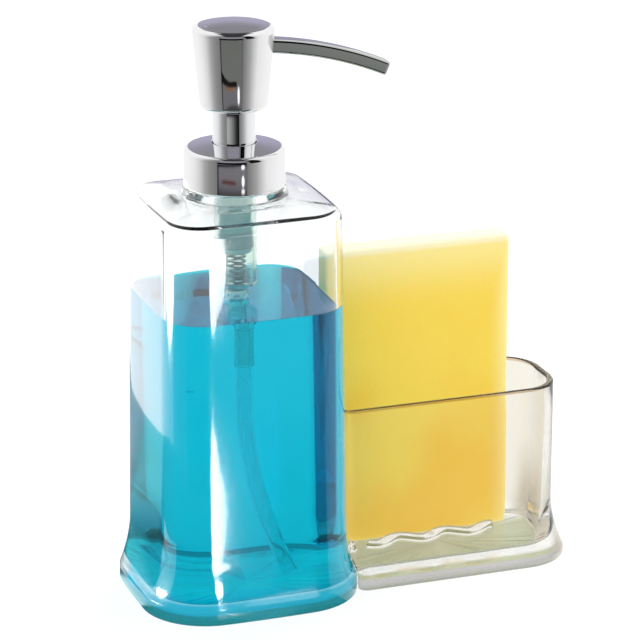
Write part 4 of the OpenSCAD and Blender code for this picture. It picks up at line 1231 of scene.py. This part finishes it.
def makeSpout():
    bend = spout["bend"]
    slope = math.radians(spout["slope"])
    centreX = head["top"] - spout["wall"] - bend * math.sin(slope)
    centreZ = spout["rootHeight"] - bend * math.cos(slope)
    start = math.asin((spout["start"] - centreX) / bend)
    end = math.asin((spout["reach"] - centreX) / bend)

    def ring(angle, inset):
        return [(centreX + (bend + up) * math.sin(angle), across, centreZ + (bend + up) * math.cos(angle))
                for up, across in spoutSection(inset)]
    steps, tip = 48, spout["tipRound"]
    angles = [start + (end - start) * i / steps for i in range(steps + 1)]
    turn = tip / bend
    outer = [ring(a, 0) for a in angles[:-1]]
    outer += [ring(end - turn, 0), ring(end - turn * 0.3, tip * 0.3), ring(end, tip)]
    inner = [ring(end, spout["wall"] - tip), ring(end - turn * 0.3, spout["wall"] - tip * 0.3)]
    inner += [ring(a, spout["wall"]) for a in reversed(angles[:-1])]
    piece = loft("spoutShell", outer + inner, materials["chromeSpout"], loop=True, angle=40)
    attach(piece, "head")
    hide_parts("spout")


makeCylinder()
makeSleeve()
makeCollar()
makePlunger()
makeHead()
makeSpout()
print("pump ready")


# Tub: its near side follows the bottle's wall, its foot flares, its rim is rounded
tubHigh = millimetres("sponge_tub")[1]
tub = {"reach": 114.0, "depth": 37.6, "wall": 2.4, "nearWall": 1.2, "draft": 1.3, "corner": 14.0,
       "nearCorner": 3.6, "flare": 4.8, "floor": 4.5, "rim": 0.9, "bowl": 1.5, "footEdge": 0.6,
       "gap": 0.1, "height": tubHigh.z}
nearShares = [i / 28 for i in range(1, 28)]


def nearX(z, y):
    r = cornerAt(z)
    past = max(0.0, abs(y) - (halfDepth(z) - r))
    return halfWidth(z) - r + math.sqrt(r * r - past * past)


def tubRing(z, inset, grown, near, ringZ):
    far = tub["reach"] - inset + grown
    half = tub["depth"] / 2 - inset + grown
    farR = max(tub["nearWall"], tub["corner"] - inset + grown)
    nearR = max(tub["nearWall"], tub["nearCorner"] - inset)
    side = nearX(z, half - nearR) + tub["gap"] + near
    ring = []

    def arc(cx, cy, r, start, steps):
        for i in range(steps + 1):
            a = math.radians(start + i * 90 / steps)
            ring.append((cx + r * math.cos(a), cy + r * math.sin(a), ringZ))

    def straight(y):
        left, right = side + nearR, far - farR
        spots = [right + (left - right) * s for s in sideShares]
        ring.extend((x, y, ringZ) for x in (spots if y > 0 else [left + right - x for x in spots]))
    arc(far - farR, half - farR, farR, 0, 20)
    straight(half)
    arc(side + nearR, half - nearR, nearR, 90, 10)
    for share in nearShares:
        y = (half - nearR) * (1 - 2 * share)
        ring.append((nearX(z, y) + tub["gap"] + near, y, ringZ))
    arc(side + nearR, -half + nearR, nearR, 180, 10)
    straight(-half)
    arc(far - farR, -half + farR, farR, 270, 20)
    for s in (0.25, 0.5, 0.75):
        ring.append((far, (-half + farR) * (1 - s) + (half - farR) * s, ringZ))
    return ring


# Wavy rib on the tub's floor, which lets the sponge drain
rib = {"Length": 48.0 * mm, "Middle": 71.5 * mm, "Wave": 17.4 * mm, "Swing": 2.1 * mm, "Width": 4.2 * mm,
       "Height": 3.0 * mm, "Sunk": 0.8 * mm, "Floor": tub["floor"] * mm, "Soft": 0.7 * mm, "Steps": 90}


def ribShape(net, use):
    path, share = evenLine(net, use["Steps"])
    along = share * use["Length"]
    phase = (along - use["Wave"] / 5) / use["Wave"] * math.tau
    place = net.join(use["Middle"] - use["Length"] * 0.5 + along,
                     net.number("COSINE", phase) * use["Swing"] * -1,
                     use["Floor"] - use["Sunk"] + (use["Height"] + use["Sunk"]) * 0.5)
    bent = net.make("GeometryNodeSetPosition", values={"Geometry": path, "Position": place})
    upright = net.make("GeometryNodeSetCurveNormal", {"mode": "Z_UP"}, {"Curve": bent})
    outline = net.make("GeometryNodeCurvePrimitiveQuadrilateral", {"mode": "RECTANGLE"},
                       {"Width": use["Width"], "Height": use["Height"] + use["Sunk"]})
    eased = net.make("GeometryNodeFilletCurve", {"mode": "POLY"},
                     {"Curve": outline, "Radius": use["Soft"], "Count": 5})
    return sweep(net, upright, eased)


def makeTub():
    wall, draft, top, rim = tub["wall"], tub["draft"], tub["height"], tub["rim"]
    low = bottle["plate"] / 2
    middle = (tub["reach"] + nearX(30, 0)) / 2
    edge = tub["footEdge"]
    rings = [[(middle, 0, 0)], tubRing(0, edge * 3, tub["flare"], 0, 0)]
    rings += [tubRing(0, edge * side, tub["flare"], 0, edge * up) for side, up in quarter(4)]
    flareTop = bottle["flareTop"]
    for i in range(17):
        z = low + (flareTop - low) * i / 16
        rings.append(tubRing(z, 0, tub["flare"] * ((flareTop - z) / (flareTop - low)) ** 2, 0, z))
    heights = [flareTop + (top - rim - flareTop) * i / 6 for i in range(1, 6)]
    rings += [tubRing(z, 0, 0, 0, z) for z in heights]
    for i in range(17):
        a = math.pi * i / 16
        share = (1 - math.cos(a)) * rim / wall if i < 9 else 1 - (1 + math.cos(a)) * rim / wall
        rings.append(tubRing(top, wall * share, 0, tub["nearWall"] * share, top - rim + rim * math.sin(a)))
    floor, bowl = tub["floor"], tub["bowl"]
    heights = [top * 0.8, top * 0.6] + [flareTop * share for share in (1.4, 1.0, 0.8, 0.6, 0.4)]
    heights.append(floor + bowl)
    rings += [tubRing(z, wall + draft * (top - z) / top, 0, tub["nearWall"], z) for z in heights]
    for side, up in quarter(6)[1:] + [(0, 1.8)]:
        inset, near = wall + draft + bowl * up, tub["nearWall"] + bowl * up
        rings.append(tubRing(floor, inset, 0, near, floor + bowl * side))
    rings.append([(middle, 0, floor)])
    piece = loft("spongeTub", rings, materials["tub"], angle=40)
    ribPiece = grow("drainRib", rib, ribShape, materials["tub"])
    turnOutward(ribPiece.data)
    joining = piece.modifiers.new("rib", "BOOLEAN")
    joining.operation, joining.solver, joining.object = "UNION", "EXACT", ribPiece
    settle(piece)
    bpy.data.objects.remove(ribPiece)
    smoothed(piece.data, 38)
    markSkin(piece.data, [1.0] * len(piece.data.vertices))
    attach(piece, "caddy")
    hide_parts("sponge_tub")


makeTub()
print("tub ready")


# Sponge: a dense skin over the solid's shape, with soft edges, a slight swell and open pores
spongeLow, spongeHigh = millimetres("sponge")
sponge = {"nearGap": 2.4, "edge": 1.9, "spacing": 0.8, "poreDepth": 0.05, "poreSize": 1.1,
          "poreReach": 0.42, "swell": 0.25, "swellSize": 18.0, "seed": (3.1, 7.7, 1.9)}


def spongeSides(z):
    foot = spongeLow.z
    wall = nearX(min(foot + z, bottle["flareTop"]), 0) + tub["gap"] + tub["nearWall"]
    above = nearX(bottle["flareTop"], 0) + tub["gap"] + tub["nearWall"] + sponge["nearGap"]
    return max(above, wall + 0.3), spongeHigh.x


def makeSponge():
    tall, thick = spongeHigh.z - spongeLow.z, spongeHigh.y - spongeLow.y
    sizes = (spongeHigh.x - spongeLow.x, thick, tall)
    counts = [max(6, round(size / sponge["spacing"])) for size in sizes]
    work = bmesh.new()
    lattice = {}

    def corner(i, j, k):
        if (i, j, k) not in lattice:
            lattice[(i, j, k)] = work.verts.new((i / counts[0], j / counts[1], k / counts[2]))
        return lattice[(i, j, k)]
    for axis, flips in ((1, (False, True)), (0, (True, False)), (2, (True, False))):
        u, v = [k for k in range(3) if k != axis]
        for a in range(counts[u]):
            for b in range(counts[v]):
                for level, flip in zip((0, counts[axis]), flips):
                    face = []
                    for i, j in ((0, 0), (1, 0), (1, 1), (0, 1)):
                        spot = [level] * 3
                        spot[u], spot[v] = a + i, b + j
                        face.append(corner(*spot))
                    work.faces.new(face[::-1] if flip else face)
    seed = Vector(sponge["seed"])
    r = sponge["edge"]
    for vert in work.verts:
        z = vert.co.z * tall
        left, right = spongeSides(z)
        x = left + (right - left) * vert.co.x
        y = vert.co.y * thick
        # Soft edges: the point is pulled onto a rounded box
        core = Vector((min(max(x, left + r), right - r), min(max(y, r), thick - r), min(max(z, r), tall - r)))
        away = Vector((x, y, z)) - core
        point = core + away.normalized() * r if away.length > r else Vector((x, y, z))
        out = away.normalized() if away.length > 1e-6 else Vector((0, -1, 0))
        pore = noise.voronoi(point / sponge["poreSize"] + seed)[0][0]
        broad = noise.noise(point / sponge["swellSize"] + seed)
        sink = sponge["poreDepth"] * max(0.0, 1 - pore / sponge["poreReach"])
        sink += sponge["swell"] * (0.5 - 0.5 * broad)
        vert.co = (point - out * sink + Vector((0, spongeLow.y, spongeLow.z))) * mm
    mesh = bpy.data.meshes.new("spongeFoam")
    work.to_mesh(mesh)
    work.free()
    turnOutward(mesh)
    mesh.shade_smooth()
    piece = placed("spongeFoam", mesh, materials["sponge"])
    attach(piece, "sponge")
    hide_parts("sponge")


makeSponge()
print("sponge ready")


# Air bubbles that cling to the inside of the wall
bubbles = {"Density": 2700.0, "Least": 0.12 * mm, "Most": 0.34 * mm, "Low": 10.0 * mm,
           "High": (soapTop - 2) * mm, "Inward": 0.45 * mm, "Seed": 4}


def bubbleShape(net, use):
    start = [n for n in net.tree.nodes if n.bl_idname == "NodeGroupInput"][0]
    wall = Wire(net, start.outputs["Geometry"])
    height = net.parts(net.make("GeometryNodeInputPosition"))[2]
    inside = net.number("MULTIPLY", net.number("GREATER_THAN", height, use["Low"]),
                        net.number("LESS_THAN", height, use["High"]))
    spread = net.make("GeometryNodeDistributePointsOnFaces",
                      values={"Mesh": wall, "Selection": inside, "Density": use["Density"],
                              "Seed": use["Seed"]})
    normal = Wire(net, spread.socket.node.outputs["Normal"])
    size = net.make("FunctionNodeRandomValue", {"data_type": "FLOAT"},
                    {2: use["Least"], 3: use["Most"], "Seed": use["Seed"]}, out=1)
    inward = net.make("ShaderNodeVectorMath", {"operation": "SCALE"},
                      {0: normal, "Scale": use["Inward"] * -1})
    moved = net.make("GeometryNodeSetPosition", values={"Geometry": spread, "Offset": inward})
    ball = net.make("GeometryNodeMeshIcoSphere", values={"Radius": 1.0, "Subdivisions": 2})
    return net.make("GeometryNodeInstanceOnPoints",
                    values={"Points": moved, "Instance": ball, "Scale": net.join(size, size, size)})


def makeBubbles():
    piece = grow("soapBubbles", bubbles, bubbleShape, materials["bubble"], soapPiece.data.copy())
    smoothed(piece.data, 80)
    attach(piece, "caddy")
    print("bubble faces:", len(piece.data.polygons))


makeBubbles()

# Inner pieces keep their solids, each with its finish
nodeFinish = {"cylinder_gasket": "white", "stem_guide": "white", "ball_cage": "white", "inlet_ball": "ball",
              "outlet_ball": "ball", "collar_ring": "white", "head_core": "white", "head_ring": "grey"}
for node, finish in nodeFinish.items():
    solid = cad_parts[node]
    solid.data.materials.clear()
    solid.data.materials.append(materials[finish])
print("inner pieces ready")
